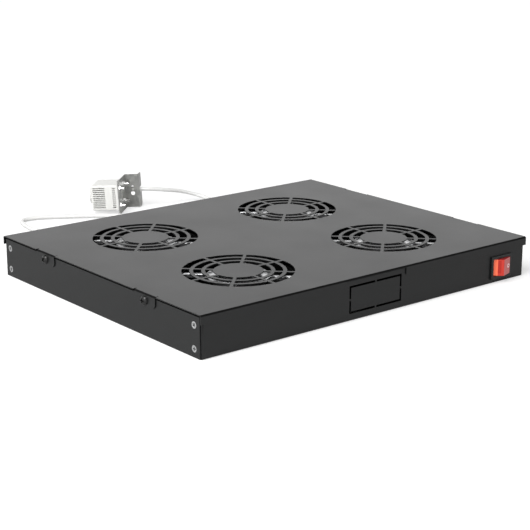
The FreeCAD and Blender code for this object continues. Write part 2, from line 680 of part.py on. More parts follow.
def make_switch_housing():
    """Moulded body with its bezel, the rocker's well and two pivot stubs."""
    half_w, half_h = SWITCH_BEZEL_W / 2, SWITCH_BEZEL_H / 2
    bezel = block((SWITCH_X - half_w, BEZEL_FRONT, SWITCH_Z - half_h),
                  (SWITCH_X + half_w, -HALF_D, SWITCH_Z + half_h))
    front = [e for e in bezel.Edges if e.CenterOfMass.y < BEZEL_FRONT + ROOM / 2]
    bezel = bezel.makeFillet(SWITCH_BEZEL_CORNER, front)
    half_w, half_h = SWITCH_BODY_W / 2, SWITCH_BODY_H / 2
    body = block((SWITCH_X - half_w, -HALF_D, SWITCH_Z - half_h),
                 (SWITCH_X + half_w, -HALF_D + SWITCH_BODY_DEPTH, SWITCH_Z + half_h))
    well = block((SWITCH_X - WELL_HALF_W, BEZEL_FRONT - ROOM, SWITCH_Z - WELL_HALF_H),
                 (SWITCH_X + WELL_HALF_W, BEZEL_FRONT + SWITCH_WELL_DEPTH, SWITCH_Z + WELL_HALF_H))
    stubs = []
    for side in (-1, 1):
        start = (SWITCH_X, ROCKER_AXIS_Y, SWITCH_Z + side * (WELL_HALF_H + ROOM))
        stubs.append(rod(ROCKER_PIN_R, start, Z * -side, ROOM + ROCKER_GAP + SWITCH_WALL / 2))
    return fused([fused([bezel, body]).cut(well)] + stubs)


def make_rocker():
    """Translucent rocker: two faces that fall away from a ridge, in its rest tilt."""
    fall = ROCKER_HALF_L * math.tan(math.radians(ROCKER_SLOPE))
    shoulder = ROCKER_RIDGE - fall
    low_half = ROCKER_HALF_L - ROCKER_TAIL * math.tan(math.radians(ROCKER_TILT)) - ROCKER_GAP
    bottom = SWITCH_Z - ROCKER_HALF_H

    def at(across, out):
        return V(SWITCH_X + across, ROCKER_AXIS_Y - out, bottom)

    right, left = at(ROCKER_HALF_L, shoulder), at(-ROCKER_HALF_L, shoulder)
    right_low, left_low = at(low_half, -ROCKER_TAIL), at(-low_half, -ROCKER_TAIL)
    right_mid = (right + right_low) * 0.5 + X * ROCKER_BULGE
    left_mid = (left + left_low) * 0.5 - X * ROCKER_BULGE
    ridge = at(0, ROCKER_RIDGE)
    outline = Part.Wire([
        Part.LineSegment(left, ridge).toShape(),
        Part.LineSegment(ridge, right).toShape(),
        Part.Arc(right, right_mid, right_low).toShape(),
        Part.LineSegment(right_low, left_low).toShape(),
        Part.Arc(left_low, left_mid, left).toShape(),
    ])
    rocker = Part.Face(outline).extrude(Z * 2 * ROCKER_HALF_H)
    crest = edges_along(rocker, Z, lambda c: c.y < ROCKER_AXIS_Y - ROCKER_RIDGE + ROOM / 2)
    rocker = rocker.makeFillet(ROOM, crest)
    for side in (-1, 1):
        start = (SWITCH_X, ROCKER_AXIS_Y, SWITCH_Z + side * (ROCKER_HALF_H + ROOM))
        rocker = rocker.cut(rod(ROCKER_PIN_R + RUN_GAP, start, Z * -side, ROOM + SWITCH_WALL / 2 + RUN_GAP))
    return rocker.rotate(V(SWITCH_X, ROCKER_AXIS_Y, 0), Z, -ROCKER_TILT)


def make_switch_terminals():
    """Blade terminals on the back of the switch."""
    back = -HALF_D + SWITCH_BODY_DEPTH
    tabs = []
    for sx in (-1, 1):
        for sz in (-1, 1):
            x = SWITCH_X + sx * SWITCH_BODY_W / 4
            z = SWITCH_Z + sz * SWITCH_BODY_H / 4
            tabs.append(block((x - SWITCH_TAB_W / 2, back, z - SWITCH_TAB_T / 2),
                              (x + SWITCH_TAB_W / 2, back + SWITCH_TAB_L, z + SWITCH_TAB_T / 2)))
    return Part.makeCompound(tabs)


# ------------------------------------------------------------------------ mains inlet
PIN_PLACES = ((-PIN_PITCH / 2, -PIN_RISE / 2), (PIN_PITCH / 2, -PIN_RISE / 2), (0, PIN_RISE / 2))
INLET_FRONT = HALF_D + INLET_FLANGE
SOCKET_FLOOR = INLET_FRONT - INLET_SOCKET_DEPTH
INLET_BACK = HALF_D - INLET_BODY_DEPTH


def make_inlet_body():
    """Appliance inlet: flange with two screw holes and a socket with two cut corners."""
    half_w, half_h = INLET_FLANGE_W / 2, INLET_FLANGE_H / 2
    flange = block((INLET_X - half_w, HALF_D, INLET_Z - half_h),
                   (INLET_X + half_w, INLET_FRONT, INLET_Z + half_h))
    corners = edges_along(flange, Y, lambda c: True)
    flange = flange.makeFillet(INLET_FLANGE_H / 4, corners)
    half_w, half_h = INLET_BODY_W / 2, INLET_BODY_H / 2
    body = block((INLET_X - half_w, INLET_BACK, INLET_Z - half_h),
                 (INLET_X + half_w, HALF_D, INLET_Z + half_h))
    half_w, half_h = INLET_SOCKET_W / 2, INLET_SOCKET_H / 2
    socket = block((INLET_X - half_w, SOCKET_FLOOR, INLET_Z - half_h),
                   (INLET_X + half_w, INLET_FRONT + ROOM, INLET_Z + half_h))
    upper = edges_along(socket, Y, lambda c: c.z > INLET_Z)
    socket = socket.makeChamfer(INLET_SOCKET_CHAMFER, upper)
    cutters = [socket]
    for sx in (-1, 1):
        start = (INLET_X + sx * INLET_SCREW_PITCH / 2, HALF_D - ROOM, INLET_Z)
        cutters.append(prism(INLET_SCREW_R + HOLE_GAP, start, Y, INLET_FLANGE + 2 * ROOM))
    for px, pz in PIN_PLACES:
        half_t, half_p = PIN_THICK / 2 + SCREW_GAP, PIN_WIDTH / 2 + SCREW_GAP
        cutters.append(block((INLET_X + px - half_t, INLET_BACK - ROOM, INLET_Z + pz - half_p),
                             (INLET_X + px + half_t, SOCKET_FLOOR + ROOM, INLET_Z + pz + half_p)))
    return fused([flange, body]).cut(Part.makeCompound(cutters))


def make_inlet_pins():
    """Three blades, from the tails inside the case to the tips in the socket."""
    pins = []
    for px, pz in PIN_PLACES:
        x, z = INLET_X + px, INLET_Z + pz
        pins.append(block((x - PIN_THICK / 2, INLET_BACK - PIN_TAIL, z - PIN_WIDTH / 2),
                          (x + PIN_THICK / 2, SOCKET_FLOOR + PIN_LENGTH, z + PIN_WIDTH / 2)))
    return Part.makeCompound(pins)


def make_inlet_screws():
    """Two small domed screws through the inlet's flange."""
    screws = []
    for sx in (-1, 1):
        seat = (INLET_X + sx * INLET_SCREW_PITCH / 2, INLET_FRONT, INLET_Z)
        head = prism(2 * INLET_SCREW_R, seat, Y, INLET_SCREW_R)
        shank = prism(INLET_SCREW_R, seat, Y * -1, INLET_FLANGE + SHEET + INLET_NUT + ROOM)
        screws.append(fused([head, shank]))
    return Part.makeCompound(screws)


def make_inlet_nuts():
    """Two nuts on the inside of the rear wall."""
    nuts = []
    for sx in (-1, 1):
        seat = (INLET_X + sx * INLET_SCREW_PITCH / 2, HALF_D - SHEET, INLET_Z)
        nut = hexagon(INLET_NUT_ACROSS, seat, Y * -1, INLET_NUT)
        nuts.append(nut.cut(prism(INLET_SCREW_R + SCREW_GAP, seat, Y * -1, INLET_NUT)))
    return Part.makeCompound(nuts)


# -------------------------------------------------------------- bushing, block, earth
def make_cord_bushing():
    """Moulded strain relief of the thermostat cord in the rear wall."""
    flange = rod(BUSHING_FLANGE_R, (BUSHING_X, HALF_D, BUSHING_Z), Y, BUSHING_FLANGE)
    tail_start = (BUSHING_X, HALF_D + BUSHING_FLANGE, BUSHING_Z)
    tail = cone(BUSHING_TAIL_R, BUSHING_TIP_R, tail_start, Y, BUSHING_TAIL)
    neck = rod(BUSHING_NECK_R, (BUSHING_X, HALF_D, BUSHING_Z), Y * -1, SHEET + BUSHING_NUT + ROOM)
    return fused([flange, tail, neck])


def make_bushing_nut():
    """Flat nut behind the rear wall."""
    seat = (BUSHING_X, HALF_D - SHEET, BUSHING_Z)
    nut = hexagon(BUSHING_NUT_ACROSS, seat, Y * -1, BUSHING_NUT)
    return nut.cut(rod(BUSHING_NECK_R + SCREW_GAP, seat, Y * -1, BUSHING_NUT))


BLOCK_HALF_L = BLOCK_WAYS * BLOCK_PITCH / 2
BLOCK_SPINE = BLOCK_WIDTH / 2
BLOCK_YS = [FAN_SHIFT_Y + (n - (BLOCK_WAYS - 1) / 2) * BLOCK_PITCH for n in range(BLOCK_WAYS)]


def make_terminal_block():
    """Stepped terminal block in the middle of the floor."""
    profile = Part.makePolygon([
        V(-BLOCK_WIDTH / 2, 0, 0), V(BLOCK_WIDTH / 2, 0, 0), V(BLOCK_WIDTH / 2, 0, BLOCK_SHOULDER),
        V(BLOCK_SPINE / 2, 0, BLOCK_HEIGHT), V(-BLOCK_SPINE / 2, 0, BLOCK_HEIGHT),
        V(-BLOCK_WIDTH / 2, 0, BLOCK_SHOULDER), V(-BLOCK_WIDTH / 2, 0, 0),
    ])
    body = Part.Face(profile).extrude(Y * 2 * BLOCK_HALF_L)
    body = body.translated(V(FAN_SHIFT_X, FAN_SHIFT_Y - BLOCK_HALF_L, SHEET))
    wells = []
    for y in BLOCK_YS:
        start = (FAN_SHIFT_X, y, SHEET + BLOCK_SHOULDER)
        wells.append(prism(BLOCK_SCREW_R + SEAT_GAP, start, Z, BLOCK_HEIGHT))
    return body.cut(Part.makeCompound(wells))


def make_terminal_screws():
    """Clamping screws in the block's wells."""
    length = BLOCK_HEIGHT - BLOCK_SHOULDER - BLOCK_SCREW_SINK
    return Part.makeCompound([
        prism(BLOCK_SCREW_R, (FAN_SHIFT_X, y, SHEET + BLOCK_SHOULDER), Z, length) for y in BLOCK_YS
    ])


EARTH_X = HALF_W - EARTH_INSET_X
EARTH_Y = HALF_D - EARTH_INSET_Y


def make_earth_stud():
    """Welded earth stud on the floor."""
    return prism(EARTH_STUD_R, (EARTH_X, EARTH_Y, SHEET), Z, EARTH_STUD_L)


def make_earth_nut():
    """Nut on the earth stud."""
    seat = (EARTH_X, EARTH_Y, SHEET)
    nut = hexagon(EARTH_NUT_ACROSS, seat, Z, EARTH_NUT)
    return nut.cut(prism(EARTH_STUD_R + SCREW_GAP, seat, Z, EARTH_NUT))


# ---------------------------------------------------------------------- inside wiring
def between(first, last, share, side, height):
    """Point on the way from first to last, moved to one side, at a height above the floor."""
    way = V(last.x - first.x, last.y - first.y, 0)
    across = Z.cross(way).normalize()
    spot = first + way * share + across * side
    return V(spot.x, spot.y, SHEET + height)


def lead(start, out, bends, end, back):
    """Lead with a straight stub square to what it meets at each end."""
    points = [start, start + out * LEAD_STUB] + bends + [end + back * LEAD_STUB, end]
    return tube(points, LEAD_R, LEAD_SIDES)


def make_fan_leads():
    """Twin leads from the four fan frames to the terminal block."""
    leads = []
    for sx in (-1, 1):
        for sy in (-1, 1):
            start = V(FAN_SHIFT_X + sx * (FAN_PITCH_X - FAN_SIZE) / 2, FAN_SHIFT_Y + sy * FAN_PITCH_Y / 2,
                      SHEET + BLOCK_SHOULDER / 3)
            end = V(FAN_SHIFT_X + sx * BLOCK_WIDTH / 2, FAN_SHIFT_Y + sy * (BLOCK_HALF_L - BLOCK_PITCH / 2),
                    SHEET + BLOCK_SHOULDER / 2)
            bends = [between(start, end, 0.4, 2.0 * sx * sy, 2.2),
                     between(start, end, 0.7, -2.0 * sx * sy, 3.0)]
            leads.append(lead(start, X * -sx, bends, end, X * sx))
    return Part.makeCompound(leads)


SWITCH_BACK = -HALF_D + SWITCH_BODY_DEPTH + SWITCH_TAB_L


def make_mains_lead():
    """Lead from the inlet's tails forward to the switch, along the right-hand bay."""
    start = V(INLET_X, INLET_BACK - PIN_TAIL, INLET_Z + PIN_RISE / 2)
    end = V(SWITCH_X - SWITCH_BODY_W / 4, SWITCH_BACK, SWITCH_Z + SWITCH_BODY_H / 4)
    bends = [between(start, end, share, side, height) for share, side, height in
             ((0.16, 3.0, 15.0), (0.34, 7.0, 9.0), (0.52, 9.0, 8.0), (0.70, 7.0, 9.0), (0.86, 3.0, 16.0))]
    return lead(start, Y * -1, bends, end, Y)


def make_feed_lead():
    """Lead from the switch to the terminal block, between the front and rear fans."""
    start = V(SWITCH_X + SWITCH_BODY_W / 4, SWITCH_BACK, SWITCH_Z - SWITCH_BODY_H / 4)
    turn = V(start.x, FAN_SHIFT_Y, 0)
    end = V(FAN_SHIFT_X + BLOCK_WIDTH / 2, FAN_SHIFT_Y, SHEET + BLOCK_SHOULDER / 2)
    bends = [between(start, turn, share, side, height) for share, side, height in
             ((0.25, -2.0, 6.0), (0.52, -3.0, 3.0), (0.82, 0.0, 2.4))]
    bends += [between(turn, end, share, side, height) for share, side, height in
              ((0.14, 0.0, 2.4), (0.36, 2.0, 2.2), (0.60, -1.0, 2.4), (0.82, 1.5, 3.0))]
    return lead(start, Y, bends, end, X)


def make_thermostat_lead():
    """Inner end of the thermostat cord, from the bushing to the terminal block."""
    start = V(BUSHING_X, HALF_D - SHEET - BUSHING_NUT - ROOM, BUSHING_Z)
    turn = V(FAN_SHIFT_X, FAN_SHIFT_Y + (FAN_PITCH_Y + FAN_SIZE) / 2, 0)
    end = V(FAN_SHIFT_X, FAN_SHIFT_Y + BLOCK_HALF_L, SHEET + BLOCK_SHOULDER / 2)
    bends = [between(start, turn, share, side, height) for share, side, height in
             ((0.25, -6.0, 16.0), (0.58, 1.0, 9.0), (0.88, 0.5, 3.5))]
    bends += [between(turn, end, share, side, height) for share, side, height in
              ((0.18, 2.0, 2.4), (0.48, -2.0, 2.2), (0.78, 1.0, 2.8))]
    return lead(start, Y * -1, bends, end, Y)


# ------------------------------------------------------------------------- thermostat
# Its own axes: +X from the dial to the bracket, +Y away from the slotted face, +Z up.
STAT_MID_Y = STAT_WIDTH / 2
STAT_MID_Z = STAT_FOOT + STAT_HEIGHT / 2
STAT_BACK = STAT_LENGTH + STAT_BASE
STAT_STAND = FreeCAD.Rotation(Z, STAT_TURN).multiply(FreeCAD.Rotation(Y, -STAT_LEAN))
STAT_CORNER = FreeCAD.Placement(V(STAT_X, HALF_D + STAT_BEHIND, 0), STAT_STAND)
STAT_PLACE = STAT_CORNER.multiply(FreeCAD.Placement(V(-STAT_BACK, 0, 0), FreeCAD.Rotation()))
STUDS = [(STAT_MID_Y + sy * STUD_PITCH_Y / 2, STAT_MID_Z + sz * STUD_PITCH_Z / 2)
         for sy in (-1, 1) for sz in (-1, 1)]
CORD_LANE_Y = BRACKET_FACE + BRACKET_FLANGE / 2
CORD_HOLE_Z = STAT_MID_Z
BOOT_END_X = STAT_BACK + BRACKET_WEB - BOOT_GAP


def placed(shape):
    """Move a shape from the thermostat's own axes to its place on the floor."""
    moved = shape.copy()
    moved.Placement = STAT_PLACE.multiply(moved.Placement)
    return moved


def stat_box(inset, front, back):
    """Block of the housing's section, drawn in by an inset."""
    return block((front, inset, STAT_FOOT + inset),
                 (back, STAT_WIDTH - inset, STAT_FOOT + STAT_HEIGHT - inset))


def make_stat_cover():
    """Vented cover: rounded towards the dial, open towards the base."""
    outer = stat_box(0, 0, STAT_LENGTH)
    soft = [e for e in outer.Edges if e.CenterOfMass.x < STAT_LENGTH - ROOM]
    outer = outer.makeFillet(STAT_EDGE, soft)
    cover = outer.cut(stat_box(STAT_WALL, STAT_WALL, STAT_LENGTH + ROOM))
    cutters = [rod(SPINDLE_R + SEAT_GAP, (-ROOM, STAT_MID_Y, STAT_MID_Z), X, STAT_WALL + 2 * ROOM)]
    low = STAT_MID_Z - (STAT_SLOTS - 1) / 2 * STAT_SLOT_PITCH
    for row in range(STAT_SLOTS):
        z = low + row * STAT_SLOT_PITCH
        cutters.append(block((STAT_SLOT_START, -ROOM, z - STAT_SLOT / 2),
                             (STAT_SLOT_START + STAT_SLOT_LENGTH, STAT_WALL + ROOM, z + STAT_SLOT / 2)))
        cutters.append(block((STAT_LENGTH - STAT_NOTCH_DEPTH, -ROOM, z - STAT_SLOT / 2),
                             (STAT_LENGTH + ROOM, STAT_WIDTH + ROOM, z + STAT_SLOT / 2)))
    return cover.cut(Part.makeCompound(cutters))


def make_stat_base():
    """Base plate of the thermostat, with the moulded carrier for its mechanism."""
    plate = stat_box(0, STAT_LENGTH, STAT_BACK)
    half_w, half_h = CHASSIS_WIDTH / 2, CHASSIS_HEIGHT / 2
    carrier = block((STAT_LENGTH - CHASSIS_LENGTH, STAT_MID_Y - half_w, STAT_MID_Z - half_h),
                    (STAT_LENGTH, STAT_MID_Y + half_w, STAT_MID_Z + half_h))
    base = fused([plate, carrier])
    holes = [prism(STUD_R + SCREW_GAP, (STAT_BACK - STUD_SINK, y, z), X, STUD_SINK + ROOM)
             for y, z in STUDS]
    return base.cut(Part.makeCompound(holes))


def make_stat_bimetal():
    """Curved bimetal blade on the carrier."""
    foot_x = STAT_LENGTH - CHASSIS_LENGTH
    half = BIMETAL_WIDTH / 2
    base_z = STAT_MID_Z - CHASSIS_HEIGHT / 2
    tip_z = STAT_MID_Z + CHASSIS_HEIGHT / 2
    bow = V(foot_x - 2 * BIMETAL_THICK, STAT_MID_Y - CHASSIS_WIDTH / 2 + half, STAT_MID_Z)
    low, high = V(foot_x, bow.y, base_z), V(foot_x, bow.y, tip_z)
    skin = X * -BIMETAL_THICK
    outline = Part.Wire([
        Part.Arc(low, bow, high).toShape(),
        Part.LineSegment(high, high + skin).toShape(),
        Part.Arc(high + skin, bow + skin, low + skin).toShape(),
        Part.LineSegment(low + skin, low).toShape(),
    ])
    blade = Part.Face(outline).extrude(Y * BIMETAL_WIDTH)
    return blade.translated(V(0, -half, 0))


def make_spindle():
    """Spindle of the dial, with the collar behind the cover."""
    axle = rod(SPINDLE_R, (-DIAL_GAP, STAT_MID_Y, STAT_MID_Z), X, SPINDLE_LENGTH)
    collar = rod(SPINDLE_COLLAR_R, (STAT_WALL + DIAL_GAP, STAT_MID_Y, STAT_MID_Z), X, SPINDLE_COLLAR)
    return fused([axle, collar])


def make_dial():
    """Fluted setting dial with a pointer ridge."""
    face_x = -DIAL_GAP
    dial = cone(DIAL_R, DIAL_R - ROOM, (face_x, STAT_MID_Y, STAT_MID_Z), X * -1, DIAL_HEIGHT)
    flutes = []
    for n in range(DIAL_FLUTES):
        turn = 2 * math.pi * n / DIAL_FLUTES
        start = (face_x, STAT_MID_Y + DIAL_R * math.cos(turn), STAT_MID_Z + DIAL_R * math.sin(turn))
        half = DIAL_FLUTE_R / 2
        flute = block((-DIAL_HEIGHT, -half, -half), (0, half, half))
        flute.rotate(V(0, 0, 0), X, math.degrees(turn) + 45)
        flutes.append(flute.translated(V(*start)))
    dial = dial.cut(Part.makeCompound(flutes))
    pointer = block((face_x - DIAL_HEIGHT - ROOM / 2, STAT_MID_Y - DIAL_FLUTE_R / 2, STAT_MID_Z),
                    (face_x - DIAL_HEIGHT, STAT_MID_Y + DIAL_FLUTE_R / 2, STAT_MID_Z + DIAL_R - 2 * ROOM))
    return fused([dial, pointer])


def keyhole(x, z):
    """Round hole with a narrower slot above it, through the web."""
    depth = BRACKET_SHEET + 2 * ROOM
    start_y = BRACKET_FACE - BRACKET_SHEET - ROOM
    round_z = z - KEYHOLE_HEIGHT / 2 + KEYHOLE_R
    top = z + KEYHOLE_HEIGHT / 2 - KEYHOLE_SLOT / 2
    return fused([
        rod(KEYHOLE_R, (x, start_y, round_z), Y, depth),
        block((x - KEYHOLE_SLOT / 2, start_y, round_z), (x + KEYHOLE_SLOT / 2, start_y + depth, top)),
        rod(KEYHOLE_SLOT / 2, (x, start_y, top), Y, depth),
    ])


def make_bracket():
    """Zinc-coated mounting bracket: face plate, web and flange, bent into a Z."""
    face_x = STAT_BACK + BRACKET_SHEET
    web_x = face_x + BRACKET_WEB
    web_y = BRACKET_FACE - BRACKET_SHEET
    end_y = BRACKET_FACE + BRACKET_FLANGE - BRACKET_SHEET
    corners = [V(STAT_BACK, 0, 0), V(face_x, 0, 0), V(face_x, web_y, 0),
               V(web_x, web_y, 0), V(web_x, end_y, 0),
               V(web_x - BRACKET_SHEET, end_y, 0), V(web_x - BRACKET_SHEET, BRACKET_FACE, 0),
               V(STAT_BACK, BRACKET_FACE, 0)]
    bracket = Part.Face(Part.makePolygon(corners + corners[:1])).extrude(Z * BRACKET_HEIGHT)
    inner = edges_along(bracket, Z, lambda c: abs(c.x - face_x) < SEAT_GAP and abs(c.y - web_y) < SEAT_GAP)
    inner += edges_along(bracket, Z, lambda c: abs(c.x - web_x) < 2 * BRACKET_SHEET
                         and abs(c.y - BRACKET_FACE) < SEAT_GAP)
    bracket = bracket.makeFillet(BEND_INNER, inner)
    outer = edges_along(bracket, Z, lambda c: (abs(c.x - STAT_BACK) < SEAT_GAP
                                               and abs(c.y - BRACKET_FACE) < SEAT_GAP))
    outer += edges_along(bracket, Z, lambda c: abs(c.x - web_x) < SEAT_GAP and abs(c.y - web_y) < SEAT_GAP)
    bracket = bracket.makeFillet(BEND_OUTER, outer)
    foot = edges_along(bracket, X, lambda c: c.z < ROOM and c.y > end_y - ROOM)
    bracket = bracket.makeFillet(BRACKET_ROUND, foot)
    cutters = [
        block((STAT_BACK - ROOM, STAT_MID_Y - BRACKET_WINDOW_W / 2, STAT_MID_Z - BRACKET_WINDOW_H / 2),
              (face_x + ROOM, STAT_MID_Y + BRACKET_WINDOW_W / 2, STAT_MID_Z + BRACKET_WINDOW_H / 2)),
        keyhole(face_x + BRACKET_WEB / 2, STAT_MID_Z),
        block((web_x - 2 * BRACKET_SHEET, CORD_LANE_Y - CORD_NOTCH / 2, CORD_HOLE_Z - CORD_NOTCH / 2),
              (web_x + ROOM, end_y + ROOM, CORD_HOLE_Z + CORD_NOTCH / 2)),
    ]
    for y, z in STUDS:
        cutters.append(prism(STUD_R + HOLE_GAP, (STAT_BACK - ROOM, y, z), X, BRACKET_SHEET + 2 * ROOM))
    return bracket.cut(Part.makeCompound(cutters))


def make_bracket_studs():
    """Four studs that hold the thermostat's base to the bracket."""
    length = STUD_SINK + BRACKET_SHEET + STUD_LENGTH
    return Part.makeCompound([prism(STUD_R, (STAT_BACK - STUD_SINK, y, z), X, length) for y, z in STUDS])


def make_bracket_nuts():
    """Nuts on the four studs."""
    nuts = []
    for y, z in STUDS:
        seat = (STAT_BACK + BRACKET_SHEET, y, z)
        nut = hexagon(STUD_NUT_ACROSS, seat, X, STUD_NUT)
        nuts.append(nut.cut(prism(STUD_R + SCREW_GAP, seat, X, STUD_NUT)))
    return Part.makeCompound(nuts)


def make_stat_boot():
    """Gland block on the far side of the thermostat, with a tapered nose for the cord."""
    near_x = BOOT_END_X - BOOT_NOSE - 2 * BOOT_R
    block_end = CORD_LANE_Y + BOOT_R
    body = block((near_x, STAT_WIDTH, CORD_HOLE_Z - BOOT_R),
                 (near_x + 2 * BOOT_R, block_end, CORD_HOLE_Z + BOOT_R))
    body = body.makeChamfer(BOOT_R / 2, edges_along(body, Z, lambda c: c.y > CORD_LANE_Y))
    nose_start = (near_x + 2 * BOOT_R, CORD_LANE_Y, CORD_HOLE_Z)
    nose = cone(BOOT_R - ROOM / 2, CORD_R + ROOM / 2, nose_start, X, BOOT_NOSE)
    return fused([body, nose])


# ------------------------------------------------------------------------------- cord
def cord_route():
    """Thermostat cord, from the bushing across the floor to the boot."""
    wall = HALF_D
    low = CORD_LIE
    tip_y = wall + BUSHING_FLANGE + BUSHING_TAIL
    boot_end = V(BOOT_END_X, CORD_LANE_Y, CORD_HOLE_Z)
    flange_end = boot_end + X * CORD_STUB
    free = [
        (-62.0, wall + 46.0, 15.0), (-70.0, wall + 70.0, 7.0), (-81.0, wall + 92.0, low),
        (-95.0, wall + 115.0, low), (-104.5, wall + 139.0, low), (-101.5, wall + 166.0, low),
        (-93.0, wall + 191.0, low), (-69.0, wall + 189.5, low), (-38.0, wall + 171.5, low),
        (-6.0, wall + 150.0, low), (26.0, wall + 125.0, low), (58.0, wall + 104.0, low),
        (92.0, wall + 92.0, low), (126.0, wall + 92.0, low), (152.0, wall + 104.0, low),
        (158.0, wall + 128.0, 3.2), (147.0, wall + 148.0, 8.5), (126.0, wall + 153.0, 15.0),
        (103.0, wall + 151.0, 20.0),
    ]
    start = [(BUSHING_X, tip_y, BUSHING_Z), (BUSHING_X, tip_y + CORD_STUB, BUSHING_Z)]
    return start + free + [tuple(STAT_PLACE.multVec(flange_end)), tuple(STAT_PLACE.multVec(boot_end))]


def make_cord():
    """The free cord between the tray and the thermostat."""
    return tube(cord_route(), CORD_R, CORD_SIDES, "cord")


# ------------------------------------------------------------------------------ output
def all_parts():
    """Every node's name and shape."""
    parts = {
        "lid": make_lid(),
        "base_pan": make_pan(),
        "side_panel_left": make_side_panel(-1),
        "side_panel_right": make_side_panel(1),
        "side_screws": make_side_screws(),
        "lid_screws": make_lid_screws(),
        "fan_screws": make_fan_screws(),
        "switch_housing": make_switch_housing(),
        "switch_rocker": make_rocker(),
        "switch_terminals": make_switch_terminals(),
        "inlet_body": make_inlet_body(),
        "inlet_pins": make_inlet_pins(),
        "inlet_screws": make_inlet_screws(),
        "inlet_nuts": make_inlet_nuts(),
        "cord_bushing": make_cord_bushing(),
        "bushing_nut": make_bushing_nut(),
        "terminal_block": make_terminal_block(),
        "terminal_screws": make_terminal_screws(),
        "earth_stud": make_earth_stud(),
        "earth_nut": make_earth_nut(),
        "fan_leads": make_fan_leads(),
        "mains_lead": make_mains_lead(),
        "feed_lead": make_feed_lead(),
        "thermostat_lead": make_thermostat_lead(),
        "thermostat_cover": placed(make_stat_cover()),
        "thermostat_base": placed(make_stat_base()),
        "thermostat_bimetal": placed(make_stat_bimetal()),
        "thermostat_boot": placed(make_stat_boot()),
        "dial": placed(make_dial()),
        "dial_spindle": placed(make_spindle()),
        "bracket": placed(make_bracket()),
        "bracket_studs": placed(make_bracket_studs()),
        "bracket_nuts": placed(make_bracket_nuts()),
        "thermostat_cord": make_cord(),
    }
    fan_pieces = {
        "frame": make_fan_frame(),
        "bearing": make_bearing(),
        "stator": make_stator(),
        "label": make_label(),
        "rotor": make_rotor(),
        "shaft": make_shaft(),
    }
    for name, centre in zip(FAN_NAMES, FAN_CENTRES):
        for piece, shape in fan_pieces.items():
            parts[f"fan_{name}_{piece}"] = shape.translated(centre)
    return parts


def main():
    """Write one STEP file per node."""
    os.makedirs("parts", exist_ok=True)
    for name, shape in all_parts().items():
        if not shape.isValid():
            print("not valid:", name)
        shape.exportStep(f"parts/{name}.step")


main()
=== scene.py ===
import json
import logging
import math
from dataclasses import dataclass
from typing import Iterable, Optional, Sequence, Union

import bmesh
import bpy
from mathutils import Matrix, Vector

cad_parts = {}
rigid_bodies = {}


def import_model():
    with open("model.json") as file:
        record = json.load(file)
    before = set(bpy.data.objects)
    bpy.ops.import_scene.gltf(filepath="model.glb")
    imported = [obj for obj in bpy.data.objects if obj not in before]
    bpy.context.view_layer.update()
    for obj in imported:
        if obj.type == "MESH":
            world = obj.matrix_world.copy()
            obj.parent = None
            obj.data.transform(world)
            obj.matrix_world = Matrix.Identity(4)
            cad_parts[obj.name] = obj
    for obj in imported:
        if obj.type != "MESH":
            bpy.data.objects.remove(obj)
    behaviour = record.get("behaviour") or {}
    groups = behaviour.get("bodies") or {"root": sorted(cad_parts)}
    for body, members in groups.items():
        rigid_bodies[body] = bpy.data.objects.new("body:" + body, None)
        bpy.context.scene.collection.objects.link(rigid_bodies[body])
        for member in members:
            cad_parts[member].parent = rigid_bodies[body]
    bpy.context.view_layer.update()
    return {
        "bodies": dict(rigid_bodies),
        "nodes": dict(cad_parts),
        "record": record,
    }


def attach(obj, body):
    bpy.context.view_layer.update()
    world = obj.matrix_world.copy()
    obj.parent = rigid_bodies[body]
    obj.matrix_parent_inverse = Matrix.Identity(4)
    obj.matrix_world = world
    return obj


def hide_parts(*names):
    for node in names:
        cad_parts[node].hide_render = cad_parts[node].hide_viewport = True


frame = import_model()

LOG = logging.getLogger("rack_fan_tray")
MM = 0.001
FAN_NAMES = ("front_left", "front_right", "rear_left", "rear_right")
FANS_MIDDLE = (-2.9, -3.5)          # middle of the four fans on the tray
FANS_HALF_PITCH = (100.4, 82.3)     # from there to each fan's centre

Point = Sequence[float]
Seats = tuple[tuple[Point, Point], ...]

SLOTS = {row["node"]: row["material_slot"] for row in frame["record"]["subparts"]}
EMPTIES = {empty.name: body for body, empty in frame["bodies"].items()}
BODIES = {node: EMPTIES[piece.parent.name] for node, piece in frame["nodes"].items()}


def add_object(name: str, data: Optional[bpy.types.ID]) -> bpy.types.Object:
    """Put new data in the scene."""
    made = bpy.data.objects.new(name, data)
    bpy.context.scene.collection.objects.link(made)
    return made


# ----------------------------------------------------------------- shader expressions
class Signal:
    """A node socket that takes part in Python arithmetic."""

    def __init__(self, graph: "Tree", socket: bpy.types.NodeSocket) -> None:
        """Wrap one output socket of a graph."""
        self.graph = graph
        self.socket = socket

    def _math(self, operation: str, first: "Value", second: "Value") -> "Signal":
        """Add one Math node."""
        return self.graph.node("ShaderNodeMath", {"operation": operation}, [first, second])

    def __add__(self, other: "Value") -> "Signal":
        """Sum."""
        return self._math("ADD", self, other)

    def __radd__(self, other: "Value") -> "Signal":
        """Sum, number first."""
        return self._math("ADD", other, self)

    def __sub__(self, other: "Value") -> "Signal":
        """Difference."""
        return self._math("SUBTRACT", self, other)

    def __rsub__(self, other: "Value") -> "Signal":
        """Difference, number first."""
        return self._math("SUBTRACT", other, self)

    def __mul__(self, other: "Value") -> "Signal":
        """Product."""
        return self._math("MULTIPLY", self, other)

    def __rmul__(self, other: "Value") -> "Signal":
        """Product, number first."""
        return self._math("MULTIPLY", other, self)

    def __truediv__(self, other: "Value") -> "Signal":
        """Quotient."""
        return self._math("DIVIDE", self, other)

    def __pow__(self, other: "Value") -> "Signal":
        """Power."""
        return self._math("POWER", self, other)


Value = Union[Signal, float]
Colour = tuple[float, float, float]


